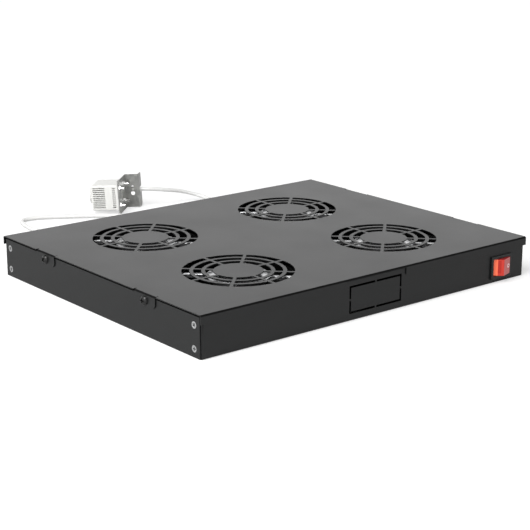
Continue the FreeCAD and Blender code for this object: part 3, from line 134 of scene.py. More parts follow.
class Tree:
    """A node tree that is written as expressions."""

    def __init__(self, tree: bpy.types.NodeTree) -> None:
        """Start with an empty tree."""
        self.tree = tree
        self.tree.nodes.clear()

    def node(self, kind: str, settings: dict, inputs: Union[dict, list],
             out: Union[int, str] = 0) -> Signal:
        """Add a node.

        Args:
            kind: Blender's node type.
            settings: attributes of the node, set before its inputs.
            inputs: values or signals by socket name or in order.
            out: which output to return.

        Returns:
            The chosen output.
        """
        made = self.tree.nodes.new(kind)
        for name, value in settings.items():
            setattr(made, name, value)
        pairs = inputs.items() if isinstance(inputs, dict) else enumerate(inputs)
        for key, value in pairs:
            if isinstance(value, Signal):
                self.tree.links.new(value.socket, made.inputs[key])
            else:
                made.inputs[key].default_value = value
        return Signal(self, made.outputs[out])

    def parts(self, vector: "Signal") -> list["Signal"]:
        """The three coordinates of a vector."""
        return [self.node("ShaderNodeSeparateXYZ", {}, [vector], axis) for axis in "XYZ"]

    def vector(self, *values: "Value") -> "Signal":
        """A vector from three coordinates."""
        return self.node("ShaderNodeCombineXYZ", {}, list(values))


class Graph(Tree):
    """The node tree of one material or of the surroundings."""

    def __init__(self, tree: bpy.types.NodeTree, place: str = "Object") -> None:
        """Start with an empty tree and the chosen coordinates."""
        super().__init__(tree)
        self.place = self.node("ShaderNodeTexCoord", {}, {}, place)

    def axis(self, name: str) -> Signal:
        """One coordinate of the place."""
        return self.node("ShaderNodeSeparateXYZ", {}, [self.place], name)

    def ramp(self, value: Signal, low: float, high: float, at_low: float, at_high: float) -> Signal:
        """Smooth change of a value between two limits."""
        inputs = {"Value": value, "From Min": low, "From Max": high, "To Min": at_low, "To Max": at_high}
        return self.node("ShaderNodeMapRange", {"interpolation_type": "SMOOTHSTEP"}, inputs)

    def band(self, value: Signal, low: float, high: float, soft: float) -> Signal:
        """One inside two limits and nought outside, with soft edges."""
        above = self.ramp(value, low - soft, low + soft, 0.0, 1.0)
        return above * self.ramp(value, high - soft, high + soft, 1.0, 0.0)

    def length(self, across: Signal, along: Signal) -> Signal:
        """Length of a flat vector."""
        return (across * across + along * along) ** 0.5

    def noise(self, scale: float, detail: float = 2.0, stretch: Point = (1, 1, 1)) -> Signal:
        """Noise in the piece's own place, in features per metre."""
        place = self.node("ShaderNodeMapping", {}, {"Vector": self.place, "Scale": stretch})
        return self.node("ShaderNodeTexNoise", {}, {"Vector": place, "Scale": scale, "Detail": detail})

    def mix(self, share: Value, first: "Paint", second: "Paint") -> Signal:
        """Blend two colours by a share."""
        ends = [paint if isinstance(paint, Signal) else (*paint, 1.0) for paint in (first, second)]
        return self.node("ShaderNodeMix", {"data_type": "RGBA"}, {0: share, 6: ends[0], 7: ends[1]}, 2)

    def bump(self, height: Signal, strength: float, distance: float) -> Signal:
        """Normal from a height."""
        inputs = {"Height": height, "Strength": strength, "Distance": distance}
        return self.node("ShaderNodeBump", {}, inputs)

    def principled(self, **sockets: object) -> Signal:
        """Principled shader, its sockets named with underscores."""
        inputs = {name.replace("_", " "): value for name, value in sockets.items()}
        return self.node("ShaderNodeBsdfPrincipled", {}, inputs)

    def output(self, surface: Signal, kind: str = "ShaderNodeOutputMaterial") -> None:
        """Join a shader to the output of a material or of the surroundings."""
        output = self.tree.nodes.new(kind)
        self.tree.links.new(surface.socket, output.inputs["Surface"])


Paint = Union[Signal, Colour]
WHITE = (1.0, 1.0, 1.0, 1.0)


def new_material(name: str) -> bpy.types.Material:
    """Start a node material."""
    material = bpy.data.materials.new(name)
    material.use_nodes = True
    return material


# --------------------------------------------------------------------------- finishes
@dataclass(frozen=True)
class Grain:
    """Surface character: a pattern in the colour, uneven gloss and fine relief.

    Scales are in features per metre and the relief's depth is in metres.
    """

    scale: float
    detail: float = 2.0
    stretch: Point = (1, 1, 1)
    spangled: bool = False
    gloss_scale: Optional[float] = None
    gloss_change: float = 0.0
    relief_scale: float = 0.0
    relief_detail: float = 1.0
    relief_strength: float = 0.0
    relief_depth: float = 0.0

    def pattern(self, graph: Graph) -> Signal:
        """Noise, or the flat crystals of hot-dipped zinc."""
        if not self.spangled:
            return graph.noise(self.scale, self.detail, self.stretch)
        inputs = {"Vector": graph.place, "Scale": self.scale}
        cells = graph.node("ShaderNodeTexVoronoi", {}, inputs, "Color")
        return graph.node("ShaderNodeSeparateColor", {}, [cells])

    def gloss(self, graph: Graph, pattern: Signal) -> Signal:
        """Change of the roughness, which follows the pattern unless it has a scale of its own."""
        uneven = graph.noise(self.gloss_scale) if self.gloss_scale else pattern
        return (uneven - 0.5) * self.gloss_change

    def relief(self, graph: Graph) -> Signal:
        """Normal of the fine relief."""
        height = graph.noise(self.relief_scale, self.relief_detail)
        return graph.bump(height, self.relief_strength, self.relief_depth)


ORANGE_PEEL = Grain(60.0, 3.0, gloss_scale=18.0, gloss_change=0.06,
                    relief_scale=900.0, relief_strength=0.10, relief_depth=0.0004)
BRUSHED = Grain(600.0, stretch=(1.0, 1.0, 12.0), gloss_change=0.12)
SPANGLE = Grain(220.0, spangled=True, gloss_change=0.15)
CAST = Grain(300.0, 3.0, relief_scale=1500.0, relief_detail=3.0, relief_strength=0.25,
             relief_depth=0.0003)
FINE_CAST = Grain(300.0, 3.0, gloss_change=0.1, relief_scale=1500.0, relief_strength=0.04,
                  relief_depth=0.0002)
MOULDED = Grain(120.0, gloss_scale=40.0, gloss_change=0.08,
                relief_scale=2500.0, relief_strength=0.06, relief_depth=0.0002)


@dataclass(frozen=True)
class Finish:
    """One finish: colour, gloss and surface character."""

    name: str
    slot: str
    colour: Colour
    roughness: float
    metallic: float = 0.0
    grain: Optional[Grain] = None
    second: Optional[Colour] = None
    specular: float = 0.5

    def sockets(self, graph: Graph) -> dict:
        """Values and signals of the surface shader.

        Args:
            graph: the tree that the signals belong to.

        Returns:
            Socket values by name.
        """
        sockets: dict = {"Metallic": self.metallic, "Specular_IOR_Level": self.specular,
                         "Base_Color": (*self.colour, 1.0), "Roughness": self.roughness}
        if self.grain:
            pattern = self.grain.pattern(graph)
            sockets["Base_Color"] = graph.mix(pattern, self.colour, self.second or self.colour)
            if self.grain.gloss_change:
                sockets["Roughness"] = self.roughness + self.grain.gloss(graph, pattern)
            if self.grain.relief_strength:
                sockets["Normal"] = self.grain.relief(graph)
        return sockets

    def shader(self, graph: Graph) -> Signal:
        """The surface shader."""
        return graph.principled(**self.sockets(graph))

    def build(self) -> bpy.types.Material:
        """Make the material."""
        material = new_material(self.name)
        graph = Graph(material.node_tree)
        graph.output(self.shader(graph))
        return material


@dataclass(frozen=True)
class RockerFinish(Finish):
    """Red rocker painted with its light and shade: a painted highlight strip at the near end, a
    rectangle of painted shade on the near face, a painted sheen over the far half with its printed ring
    mark, painted shade along the top, and painted light sent out from the whole rocker.

    Places across the rocker are from its ridge, where its two faces meet.
    """

    ridge_x: float = 180.8
    foot_z: float = 8.2
    top_z: float = 26.4
    strip_ends: tuple[float, float] = (-5.2, -4.7)
    # Bounds of the rectangle of painted shade on the near face.
    panel_across: tuple[float, float] = (-4.9, -2.2)
    panel_side: float = 0.2
    panel_foot: float = 2.6
    panel_top: float = 1.4
    panel_end: float = 0.3
    # Where the painted sheen of the far half begins, across the ridge.
    sheen_from: tuple[float, float] = (-0.3, 0.5)
    ring_x: float = 191.0
    ring_r: float = 1.75
    ring_half_width: float = 0.45
    ring_soft: float = 0.15
    ring_stretch: float = 0.85
    # Depths below the top where the painted shade along the top begins and where it is full.
    cap: tuple[float, float] = (0.5, 0.1)
    # Painted highlight: the strip at the near end, brighter than the rest of the near face's red.
    bright: Colour = (0.95, 0.17, 0.08)
    lit: Colour = (0.52, 0.035, 0.022)
    # Painted shade: the darker rectangle on the near face.
    panel_shade: Colour = (0.42, 0.020, 0.012)
    # Painted sheen: the far half lighter and pinker because of how light falls on it.
    far_half_sheen: Colour = (0.42, 0.10, 0.095)
    # Painted shade along the top of the rocker.
    edge: Colour = (0.22, 0.012, 0.012)
    mark: Colour = (0.80, 0.62, 0.60)
    # Painted light: the strength at which the rocker sends out its paint as light, though it is no lamp.
    painted_glow: float = 0.30

    def on_panel_shade(self, graph: Graph, across: Signal, height: Signal) -> Signal:
        """One inside the rectangle of painted shade on the near half."""
        low, high = self.foot_z + self.panel_foot, self.top_z - self.panel_top
        beside = graph.band(across, *self.panel_across, self.panel_side)
        return beside * graph.band(height, low, high, self.panel_end)

    def on_ring(self, graph: Graph, height: Signal) -> Signal:
        """One on the ring mark."""
        from_x = (graph.axis("X") / MM - self.ring_x) * self.ring_stretch
        away = graph.length(from_x, height - (self.foot_z + self.top_z) / 2)
        inside, outside = self.ring_r - self.ring_half_width, self.ring_r + self.ring_half_width
        return graph.band(away, inside, outside, self.ring_soft)

    def shader(self, graph: Graph) -> Signal:
        """Red plastic that sends out its own paint as light, with painted light and shade laid in
        layers.
        """
        across = graph.axis("X") / MM - self.ridge_x
        height = graph.axis("Z") / MM
        cap_from, cap_to = (self.top_z - depth for depth in self.cap)
        # Painted highlight on the near end strip, blended into the near face's red.
        paint = graph.mix(graph.ramp(across, *self.strip_ends, 0.0, 1.0), self.bright, self.lit)
        # Painted shade laid over the rectangle on the near face.
        paint = graph.mix(self.on_panel_shade(graph, across, height), paint, self.panel_shade)
        # Painted sheen over the far half.
        paint = graph.mix(graph.ramp(across, *self.sheen_from, 0.0, 1.0), paint, self.far_half_sheen)
        paint = graph.mix(self.on_ring(graph, height), paint, self.mark)
        # Painted shade darkening the rocker towards its top.
        paint = graph.mix(graph.ramp(height, cap_from, cap_to, 0.0, 1.0), paint, self.edge)
        # The paint is also sent out as painted light, though the rocker is no lamp.
        return graph.principled(
            Base_Color=paint, Roughness=self.roughness, Specular_IOR_Level=self.specular,
            Emission_Color=paint, Emission_Strength=self.painted_glow)


@dataclass(frozen=True)
class PowderCoatFinish(Finish):
    """Powder coat with a painted dark reflection over the bends, where a face is neither flat nor
    upright.
    """

    # Painted dark reflection over the bends: near black, dull and with little gloss.
    bend_painted_dark: Colour = (0.003, 0.003, 0.003)
    bend_roughness: float = 0.6
    bend_specular: float = 0.1
    bend_rise: tuple[float, float] = (0.12, 0.955)
    bend_soft: float = 0.03

    def shader(self, graph: Graph) -> Signal:
        """The coat, with a painted dark reflection where the sheet turns down."""
        coat = super().shader(graph)
        # Painted dark reflection on the bends, mixed in where a face neither lies flat nor stands
        # upright.
        bend_painted_dark = graph.principled(Base_Color=(*self.bend_painted_dark, 1.0), Roughness=self.bend_roughness,
                                Specular_IOR_Level=self.bend_specular)
        rise = graph.parts(graph.node("ShaderNodeNewGeometry", {}, {}, "Normal"))[2]
        turned = graph.band(rise, *self.bend_rise, self.bend_soft)
        return graph.node("ShaderNodeMixShader", {}, [turned, coat, bend_painted_dark])


@dataclass(frozen=True)
class FanFrameFinish(Finish):
    """Black casting whose motor plate and struts are bare metal on top."""

    bare: Colour = (0.74, 0.75, 0.76)
    bare_above: float = 35.4
    bare_soft: float = 0.2
    bore_r: float = 57.5
    bore_edge: tuple[float, float] = (1.0, 0.5)

    def from_fan(self, graph: Graph, axis: str, middle: float, half_pitch: float) -> Signal:
        """Distance along one axis from the nearest fan's centre."""
        offset = graph.axis(axis) / MM - middle
        return (offset * offset) ** 0.5 - half_pitch

    def shader(self, graph: Graph) -> Signal:
        """Black outside the bore and below the plate, and bare metal above."""
        height = graph.axis("Z") / MM
        high = graph.ramp(height, self.bare_above, self.bare_above + self.bare_soft, 0.0, 1.0)
        offsets = [self.from_fan(graph, axis, middle, half_pitch)
                   for axis, middle, half_pitch in zip("XY", FANS_MIDDLE, FANS_HALF_PITCH)]
        edge_from, edge_to = (self.bore_r - inset for inset in self.bore_edge)
        bare = high * graph.ramp(graph.length(*offsets), edge_from, edge_to, 1.0, 0.0)
        sockets = self.sockets(graph)
        sockets.update(Base_Color=graph.mix(bare, self.colour, self.bare), Metallic=bare)
        return graph.principled(**sockets)


FINISHES = (
    PowderCoatFinish("powder_coat", "black_powder", (0.0038, 0.0044, 0.0046), 0.36, 0.0,
                     ORANGE_PEEL, (0.0050, 0.0056, 0.0058)),
    Finish("black_screw", "black_steel", (0.010, 0.010, 0.010), 0.30, 0.0,
           CAST, (0.013, 0.013, 0.013)),
    Finish("zinc_plate", "zinc", (0.62, 0.63, 0.64), 0.30, 1.0, BRUSHED, (0.78, 0.78, 0.78)),
    Finish("bright_nickel", "bright_steel", (0.86, 0.86, 0.85), 0.16, 1.0,
           BRUSHED, (0.92, 0.92, 0.91)),
    Finish("galvanised_sheet", "galvanised", (0.45, 0.455, 0.445), 0.40, 1.0,
           SPANGLE, (0.60, 0.60, 0.58)),
    FanFrameFinish("fan_casting", "fan_alloy", (0.004, 0.004, 0.004), 0.34, 0.0, FINE_CAST,
                   specular=0.06),
    Finish("hub_foil", "silver_label", (0.80, 0.81, 0.82), 0.28, 1.0,
           BRUSHED, (0.86, 0.86, 0.87)),
    Finish("fan_plastic", "fan_black", (0.006, 0.006, 0.007), 0.45, 0.0,
           MOULDED, (0.009, 0.009, 0.009), 0.2),
    Finish("stator_core", "stator_steel", (0.10, 0.075, 0.06), 0.6, 0.6,
           BRUSHED, (0.13, 0.10, 0.08)),
    Finish("bearing_bronze", "bronze", (0.55, 0.36, 0.18), 0.4, 1.0, CAST, (0.60, 0.42, 0.22)),
    Finish("ground_steel", "spring_steel", (0.60, 0.60, 0.61), 0.25, 1.0,
           BRUSHED, (0.68, 0.68, 0.69)),
    Finish("terminal_brass", "brass", (0.72, 0.58, 0.30), 0.3, 1.0, BRUSHED, (0.78, 0.64, 0.36)),
    Finish("switch_black", "black_plastic", (0.010, 0.010, 0.010), 0.28, 0.0,
           MOULDED, (0.013, 0.013, 0.013)),
    Finish("nylon_black", "black_nylon", (0.014, 0.014, 0.014), 0.5, 0.0,
           MOULDED, (0.02, 0.02, 0.02)),
    Finish("nylon_white", "white_nylon", (0.78, 0.78, 0.73), 0.5, 0.0,
           MOULDED, (0.74, 0.74, 0.70)),
    RockerFinish("rocker_red", "rocker_red", (0.60, 0.035, 0.02), 0.22),
    Finish("lead_insulation", "lead_pvc", (0.02, 0.02, 0.02), 0.45, 0.0,
           MOULDED, (0.026, 0.026, 0.026)),
    Finish("cord_white", "cord_white", (0.92, 0.92, 0.905), 0.38, 0.0,
           MOULDED, (0.89, 0.89, 0.875)),
    Finish("thermostat_white", "white_plastic", (0.88, 0.88, 0.85), 0.40, 0.0,
           MOULDED, (0.85, 0.85, 0.82)),
    Finish("dial_white", "dial_white", (0.78, 0.78, 0.76), 0.4, 0.0, MOULDED, (0.75, 0.75, 0.73)),
)


class Paintbox:
    """Every finish's material, made once."""

    def __init__(self, finishes: Iterable[Finish]) -> None:
        """Build all materials."""
        self.by_slot = {finish.slot: finish.build() for finish in finishes}

    def dress_cad(self) -> None:
        """Give each CAD node the material of its slot."""
        for node, slot in SLOTS.items():
            mesh = frame["nodes"][node].data
            mesh.materials.clear()
            mesh.materials.append(self.by_slot[slot])


# ----------------------------------------------------------------------------- studio
@dataclass(frozen=True)
class Studio:
    """Floor, light and camera; lengths in metres."""

    camera_at: Point = (-0.98059, -1.21397, 0.46384)
    looks_at: Point = (-0.07085, -0.08855, 0.044)
    lens_mm: float = 100.384
    floor_size: float = 12.0
    floor_gap: float = 0.0004
    floor_grey: float = 0.60
    floor_seen: float = 0.55
    floor_seen_far: float = 0.80
    floor_brightens: tuple[float, float] = (0.35, 1.1)
    horizon: float = 1.27
    zenith: float = 0.08
    zenith_from: float = 0.27
    zenith_full: float = 0.60
    key_at: Point = (-1.2, -0.4, 1.6)
    key_size: float = 1.4
    key_power: float = 43.0

    def floor(self) -> None:
        """Pale floor that stays white to the camera and in gloss, and keeps the shadows."""
        half = self.floor_size / 2
        mesh = bpy.data.meshes.new("floor")
        corners = [(x * half, y * half, -self.floor_gap)
                   for x, y in ((-1, -1), (1, -1), (1, 1), (-1, 1))]
        mesh.from_pydata(corners, [], [(0, 1, 2, 3)])
        floor = add_object("floor", mesh)
        material = new_material("floor")
        graph = Graph(material.node_tree)
        grey = self.floor_grey
        diffuse = graph.node("ShaderNodeBsdfDiffuse", {}, {"Color": (grey, grey, grey, 1.0)})
        away = graph.length(graph.axis("X"), graph.axis("Y"))
        bright = graph.ramp(away, *self.floor_brightens, self.floor_seen, self.floor_seen_far)
        white = graph.node("ShaderNodeEmission", {}, {"Color": WHITE, "Strength": bright})
        lit = graph.node("ShaderNodeAddShader", {}, [diffuse, white])
        seen = graph.node("ShaderNodeLightPath", {}, {}, "Is Camera Ray")
        graph.output(graph.node("ShaderNodeMixShader", {}, [seen, diffuse, lit]))
        mesh.materials.append(material)

    def world(self) -> None:
        """White surroundings up to a low height and a dimmer ceiling above."""
        world = bpy.data.worlds.new("studio")
        world.use_nodes = True
        graph = Graph(world.node_tree, "Generated")
        heights = (self.zenith_from, self.zenith_full)
        strength = graph.ramp(graph.axis("Z"), *heights, self.horizon, self.zenith)
        light = graph.node("ShaderNodeBackground", {}, {"Color": WHITE, "Strength": strength})
        white = graph.node("ShaderNodeBackground", {}, {"Color": WHITE, "Strength": 1.0})
        seen = graph.node("ShaderNodeLightPath", {}, {}, "Is Camera Ray")
        mixed = graph.node("ShaderNodeMixShader", {}, [seen, light, white])
        graph.output(mixed, "ShaderNodeOutputWorld")
        bpy.context.scene.world = world

    def lamp(self) -> None:
        """One soft square lamp aimed at the tray."""
        light = bpy.data.lights.new("key", "AREA")
        light.size = self.key_size
        light.energy = self.key_power
        lamp = add_object("key", light)
        lamp.location = self.key_at
        lamp.rotation_euler = (-Vector(self.key_at)).to_track_quat("-Z", "Y").to_euler()

    def camera(self) -> None:
        """Long lens at standing height, turned to the tray's left front corner."""
        data = bpy.data.cameras.new("camera")
        data.lens = self.lens_mm
        camera = add_object("camera", data)
        back = (Vector(self.camera_at) - Vector(self.looks_at)).normalized()
        right = Vector((0, 0, 1)).cross(back).normalized()
        matrix = Matrix((right, back.cross(right), back)).transposed().to_4x4()
        matrix.translation = Vector(self.camera_at)
        camera.matrix_world = matrix
        bpy.context.scene.camera = camera

    def build(self) -> None:
        """Make the whole studio."""
        self.floor()
        self.world()
        self.lamp()
        self.camera()
        bpy.context.scene.view_settings.view_transform = "Standard"
        LOG.info("studio ready")


# ----------------------------------------------------------------------------- pieces
def replace_node(node: str, mesh: bpy.types.Mesh, paint: Paintbox) -> None:
    """Show a finished mesh in place of a CAD node, on the same body and in its finish.

    Args:
        node: the CAD node that the mesh stands for.
        mesh: the finished mesh, in place.
        paint: all materials.
    """
    piece = add_object(f"{node}_finished", mesh)
    mesh.materials.clear()
    mesh.materials.append(paint.by_slot[SLOTS[node]])
    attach(piece, BODIES[node])
    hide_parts(node)


def plain_mesh(name: str, source: bpy.types.Object) -> bpy.types.Mesh:
    """The evaluated mesh of an object, after which the object is removed."""
    graph = bpy.context.evaluated_depsgraph_get()
    mesh = bpy.data.meshes.new_from_object(source.evaluated_get(graph), depsgraph=graph)
    mesh.name = name
    bpy.data.objects.remove(source, do_unlink=True)
    return mesh


# --------------------------------------------------------------------- softened edges
# Widths of the broken edges in millimetres.
EDGE_WIDTHS = {
    "lid": 0.25, "base_pan": 0.22, "side_panel_left": 0.25, "side_panel_right": 0.25,
    "bracket": 0.15, "thermostat_cover": 0.2, "thermostat_base": 0.3, "thermostat_boot": 0.4,
    "switch_housing": 0.2, "inlet_body": 0.3, "terminal_block": 0.4, "cord_bushing": 0.3,
    "bushing_nut": 0.4, "dial": 0.3}
FAN_EDGE_WIDTHS = {"frame": 0.4, "rotor": 0.2, "label": 0.08, "stator": 0.5}


@dataclass(frozen=True)
class SoftEdges:
    """Broken edges and smooth bends; lengths in millimetres, angles in degrees."""

    weld: float = 0.02
    flat_below: float = 0.5
    smooth_below: float = 32.0
    bevel_above: float = 40.0
    bevel_steps: int = 2

    def widths_by_node(self) -> dict[str, float]:
        """Edge width of every node that gets soft edges."""
        fans = {f"fan_{name}_{piece}": width
                for name in FAN_NAMES for piece, width in FAN_EDGE_WIDTHS.items()}
        return {**EDGE_WIDTHS, **fans}

    def soften(self, node: str, width: float) -> bpy.types.Mesh:
        """Merged copy of a node's mesh, bevelled along its sharp edges.

        Args:
            node: CAD node to copy.
            width: width of the broken edge in millimetres.

        Returns:
            A plain mesh.
        """
        shell = bmesh.new()
        shell.from_mesh(frame["nodes"][node].data)
        bmesh.ops.remove_doubles(shell, verts=shell.verts, dist=self.weld * MM)
        bmesh.ops.dissolve_limit(shell, angle_limit=math.radians(self.flat_below),
                                 verts=shell.verts, edges=shell.edges)
        mesh = bpy.data.meshes.new(f"{node}_soft")
        shell.to_mesh(mesh)
        shell.free()
        source = add_object(f"{node}_source", mesh)
        bevel = source.modifiers.new("edges", "BEVEL")
        bevel.width = width * MM
        bevel.segments = self.bevel_steps
        bevel.limit_method = "ANGLE"
        bevel.angle_limit = math.radians(self.bevel_above)
        mesh.shade_smooth()
        mesh.set_sharp_from_angle(angle=math.radians(self.smooth_below))
        normals = source.modifiers.new("normals", "WEIGHTED_NORMAL")
        normals.keep_sharp = True
        return plain_mesh(f"{node}_finished", source)

    def build(self, paint: Paintbox) -> None:
        """Replace each listed node by its softened copy."""
        for node, width in self.widths_by_node().items():
            replace_node(node, self.soften(node, width), paint)
        LOG.info("soft edges: %d pieces", len(self.widths_by_node()))


# ----------------------------------------------------------------------------- screws
class ScrewTree(Tree):
    """Geometry nodes that set one cross-recessed screw on every point, along its axis."""

    LENGTHS = ("Head Radius", "Foot Radius", "Head Height", "Sink", "Dome", "Shank Radius",
               "Shank Length", "Recess Span", "Recess Arm", "Recess Depth")
    HEAD_SIDES = 28
    HEAD_STEPS = 8
    SHANK_SIDES = 20
    SHANK_IN_HEAD = 0.4     # share of the head's height
    TURN_STEP = 0.83        # radians from one screw's cross to the next one's

    def __init__(self) -> None:
        """Build the tree with its named inputs."""
        super().__init__(bpy.data.node_groups.new("cross_recessed_screw", "GeometryNodeTree"))
        kinds = {"Seats": "NodeSocketGeometry", **{name: "NodeSocketFloat" for name in self.LENGTHS},
                 "Finish": "NodeSocketMaterial"}
        for name, kind in kinds.items():
            self.tree.interface.new_socket(name, in_out="INPUT", socket_type=kind)
        self.tree.interface.new_socket("Screws", in_out="OUTPUT", socket_type="NodeSocketGeometry")
        source = self.tree.nodes.new("NodeGroupInput")
        self.given = {name: Signal(self, source.outputs[name]) for name in kinds}
        screw = self.recessed(self.joined(self.head(), self.shank()))
        instances = {"Points": self.given["Seats"], "Instance": screw, "Rotation": self.turn()}
        placed = self.node("GeometryNodeInstanceOnPoints", {}, instances)
        whole = self.node("GeometryNodeRealizeInstances", {}, {"Geometry": placed})
        dressed = self.node("GeometryNodeSetMaterial", {},
                            {"Geometry": whole, "Material": self.given["Finish"]})
        output = self.tree.nodes.new("NodeGroupOutput")
        self.tree.links.new(dressed.socket, output.inputs["Screws"])

    def joined(self, *pieces: Signal) -> Signal:
        """Several meshes as one."""
        join = self.tree.nodes.new("GeometryNodeJoinGeometry")
        for piece in pieces:
            self.tree.links.new(piece.socket, join.inputs["Geometry"])
        return Signal(self, join.outputs["Geometry"])

    def head(self) -> Signal:
        """Turned head: a cone or barrel, rounded off by the dome share."""
        sides = {"Vertices": self.HEAD_SIDES, "Side Segments": self.HEAD_STEPS,
                 "Radius": 1.0, "Depth": 1.0}
        barrel = self.node("GeometryNodeMeshCylinder", {"fill_type": "TRIANGLE_FAN"}, sides, "Mesh")
        x, y, z = self.parts(self.node("GeometryNodeInputPosition", {}, {}))
        rise = z + 0.5
        foot = self.given["Foot Radius"]
        radius = foot + (self.given["Head Radius"] - foot) * rise
        radius = radius * (1.0 - self.given["Dome"] * rise * rise) ** 0.5
        height = rise * self.given["Head Height"] - self.given["Sink"]
        place = self.vector(x * radius, y * radius, height)
        return self.node("GeometryNodeSetPosition", {}, {"Geometry": barrel, "Position": place})

    def recessed(self, screw: Signal) -> Signal:
        """Cut the cross into the head, down to the shank."""
        given = self.given
        top = self.vector(0.0, 0.0, given["Head Height"] - given["Sink"])
        span, arm, depth = given["Recess Span"], given["Recess Arm"], given["Recess Depth"] * 2.0
        slots = [self.node("GeometryNodeMeshCube", {}, {"Size": self.vector(*size)}, "Mesh")
                 for size in ((span, arm, depth), (arm, span, depth))]
        cross = self.node("GeometryNodeTransform", {},
                          {"Geometry": self.joined(*slots), "Translation": top})
        return self.node("GeometryNodeMeshBoolean", {"operation": "DIFFERENCE", "solver": "EXACT"},
                         {"Mesh 1": screw, "Mesh 2": cross, "Self Intersection": True}, "Mesh")

    def shank(self) -> Signal:
        """Plain shank that starts inside the head."""
        given = self.given
        inside = given["Head Height"] * self.SHANK_IN_HEAD
        length = given["Shank Length"] - given["Sink"] + inside
        sides = {"Vertices": self.SHANK_SIDES, "Radius": given["Shank Radius"], "Depth": length}
        rod = self.node("GeometryNodeMeshCylinder", {}, sides, "Mesh")
        middle = self.vector(0.0, 0.0, inside - given["Sink"] - length * 0.5)
        return self.node("GeometryNodeTransform", {}, {"Geometry": rod, "Translation": middle})

    def turn(self) -> Signal:
        """Each screw along its own axis and stopped at its own angle."""
        axis = self.node("GeometryNodeInputNamedAttribute", {"data_type": "FLOAT_VECTOR"},
                         {"Name": "axis"}, "Attribute")
        along = self.node("FunctionNodeAlignRotationToVector", {"axis": "Z"}, {"Vector": axis})
        stop = self.node("GeometryNodeInputIndex", {}, {}) * self.TURN_STEP
        about = self.node("FunctionNodeEulerToRotation", {}, [self.vector(0.0, 0.0, stop)])
        return self.node("FunctionNodeRotateRotation", {"rotation_space": "LOCAL"}, [along, about])


@dataclass(frozen=True)
class ScrewSet:
    """Identical screws of one CAD node; lengths in millimetres."""

    node: str
    seats: Seats
    head_r: float
    head_height: float
    shank_r: float
    shank_length: float
    countersunk: bool
    recess_depth: float = 2.2
    recess_span: float = 1.2        # in head radii
    recess_arm: float = 0.34        # in head radii
    pan_dome: float = 0.8
    smooth_below: float = 35.0      # degrees

    def settings(self) -> dict[str, float]:
        """Values of the tree's named inputs, in metres apart from the dome's share."""
        lengths = {
            "Head Radius": self.head_r,
            "Foot Radius": self.shank_r if self.countersunk else self.head_r,
            "Head Height": self.head_height,
            "Sink": self.head_height if self.countersunk else 0.0,
            "Shank Radius": self.shank_r,
            "Shank Length": self.shank_length,
            "Recess Span": self.head_r * self.recess_span,
            "Recess Arm": self.head_r * self.recess_arm,
            "Recess Depth": self.recess_depth}
        dome = 0.0 if self.countersunk else self.pan_dome
        return {"Dome": dome, **{name: value * MM for name, value in lengths.items()}}

    def build(self, tree: ScrewTree, paint: Paintbox) -> None:
        """Set the screws in place of the CAD node."""
        points = bpy.data.meshes.new(f"{self.node}_seats")
        points.from_pydata([[value * MM for value in seat] for seat, _ in self.seats], [], [])
        axes = points.attributes.new("axis", "FLOAT_VECTOR", "POINT")
        for entry, (_, axis) in zip(axes.data, self.seats):
            entry.vector = axis
        source = add_object(f"{self.node}_source", points)
        modifier = source.modifiers.new("screws", "NODES")
        modifier.node_group = tree.tree
        items = tree.tree.interface.items_tree
        names = {item.name: item.identifier for item in items if item.in_out == "INPUT"}
        for name, value in self.settings().items():
            modifier[names[name]] = value
        modifier[names["Finish"]] = paint.by_slot[SLOTS[self.node]]
        mesh = plain_mesh(f"{self.node}_finished", source)
        mesh.shade_smooth()
        mesh.set_sharp_from_angle(angle=math.radians(self.smooth_below))
        replace_node(self.node, mesh, paint)
        LOG.info("%s: %d screws", self.node, len(self.seats))


# Seats of the screws in millimetres: where each head bears and which way it faces.
SIDE_FACE = 220.0
SIDE_SCREW_Y = 168.9
SIDE_SCREW_Z = (8.6, 31.9)
TAB_FACE = 221.1
TABS_MIDDLE_Y = 1.1
TAB_HALF_PITCH = 91.65
TAB_SCREW_Z = 36.7
FAN_SCREW_HALF_PITCH = 52.5
INLET_AT = (178.0, 183.0, 20.0)
INLET_SCREW_HALF_PITCH = 20.0


def both(distance: float) -> tuple[float, float]:
    """A distance to either side."""
    return (-distance, distance)


def side_seats() -> Seats:
    """Through both side panels, near their ends."""
    return tuple(((x, y, z), (x / SIDE_FACE, 0, 0))
                 for x in both(SIDE_FACE) for y in both(SIDE_SCREW_Y) for z in SIDE_SCREW_Z)


def lid_seats() -> Seats:
    """Through the lid's tabs into the side panels."""
    return tuple(((x, TABS_MIDDLE_Y + y, TAB_SCREW_Z), (x / TAB_FACE, 0, 0))
                 for x in both(TAB_FACE) for y in both(TAB_HALF_PITCH))


def fan_seats() -> Seats:
    """Up through the floor into each fan's corners."""
    return tuple(((FANS_MIDDLE[0] + fan_x + x, FANS_MIDDLE[1] + fan_y + y, 0), (0, 0, -1))
                 for fan_x in both(FANS_HALF_PITCH[0]) for fan_y in both(FANS_HALF_PITCH[1])
                 for x in both(FAN_SCREW_HALF_PITCH) for y in both(FAN_SCREW_HALF_PITCH))


def inlet_seats() -> Seats:
    """Either side of the mains inlet."""
    inlet_x, face_y, middle_z = INLET_AT
    return tuple(((inlet_x + x, face_y, middle_z), (0, 1, 0)) for x in both(INLET_SCREW_HALF_PITCH))


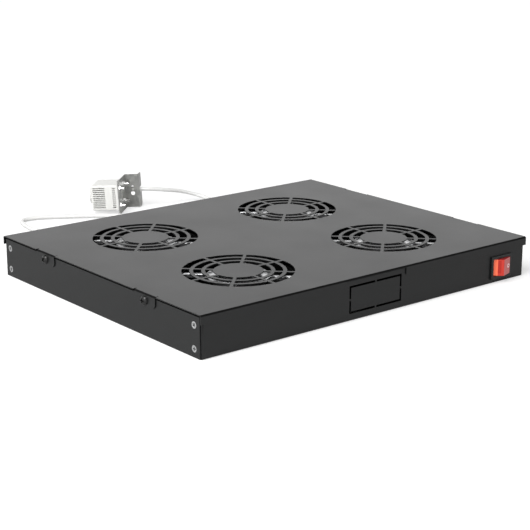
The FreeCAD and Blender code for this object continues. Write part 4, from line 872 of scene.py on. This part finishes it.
SCREW_SETS = (
    ScrewSet("side_screws", side_seats(), 3.5, 1.2, 2.0, 8.0, True),
    ScrewSet("lid_screws", lid_seats(), 4.8, 3.2, 2.5, 8.0, False),
    ScrewSet("fan_screws", fan_seats(), 3.5, 1.0, 2.0, 8.0, True),
    ScrewSet("inlet_screws", inlet_seats(), 3.0, 1.5, 1.5, 6.8, False, 1.2),
)


# ------------------------------------------------------------------------------- cord
@dataclass(frozen=True)
class ThermostatCord:
    """The free white cord across the floor, on the points of its CAD tube, in millimetres."""

    diameter: float = 5.0
    length_m: float = 0.587
    route: Sequence[Point] = (
        (-60.0, 195.0, 20.0), (-60.0, 208.0, 20.0), (-62.0, 226.0, 15.0), (-70.0, 250.0, 7.0),
        (-81.0, 272.0, 2.6), (-95.0, 295.0, 2.6), (-104.5, 319.0, 2.6), (-101.5, 346.0, 2.6),
        (-93.0, 371.0, 2.6), (-69.0, 369.5, 2.6), (-38.0, 351.5, 2.6), (-6.0, 330.0, 2.6),
        (26.0, 305.0, 2.6), (58.0, 284.0, 2.6), (92.0, 272.0, 2.6), (126.0, 272.0, 2.6),
        (152.0, 284.0, 2.6), (158.0, 308.0, 3.2), (147.0, 328.0, 8.5), (126.0, 333.0, 15.0),
        (103.0, 331.0, 20.0), (80.12, 337.80, 23.75), (71.18, 347.22, 23.04))

    def build(self, paint: Paintbox) -> None:
        curve = bpy.data.curves.new("cord", "CURVE")
        curve.dimensions = "3D"
        curve.bevel_depth = self.diameter / 2 * MM
        curve.bevel_resolution = 6
        curve.resolution_u = 12
        curve.use_fill_caps = True
        spline = curve.splines.new("NURBS")
        spline.points.add(len(self.route) - 1)
        for point, place in zip(spline.points, self.route):
            point.co = (*(value * MM for value in place), 1.0)
        spline.order_u = 3
        spline.use_endpoint_u = True
        cord = add_object("cord", curve)
        curve.materials.append(paint.by_slot["cord_white"])
        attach(cord, "case")
        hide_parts("thermostat_cord")


def main() -> None:
    """Build every assembly."""
    logging.basicConfig(level=logging.INFO, format="%(name)s: %(message)s")
    Studio().build()
    paint = Paintbox(FINISHES)
    paint.dress_cad()
    SoftEdges().build(paint)
    tree = ScrewTree()
    for screws in SCREW_SETS:
        screws.build(tree, paint)
    ThermostatCord().build(paint)
    LOG.info("all pieces in place")


if __name__ == "__main__":
    main()
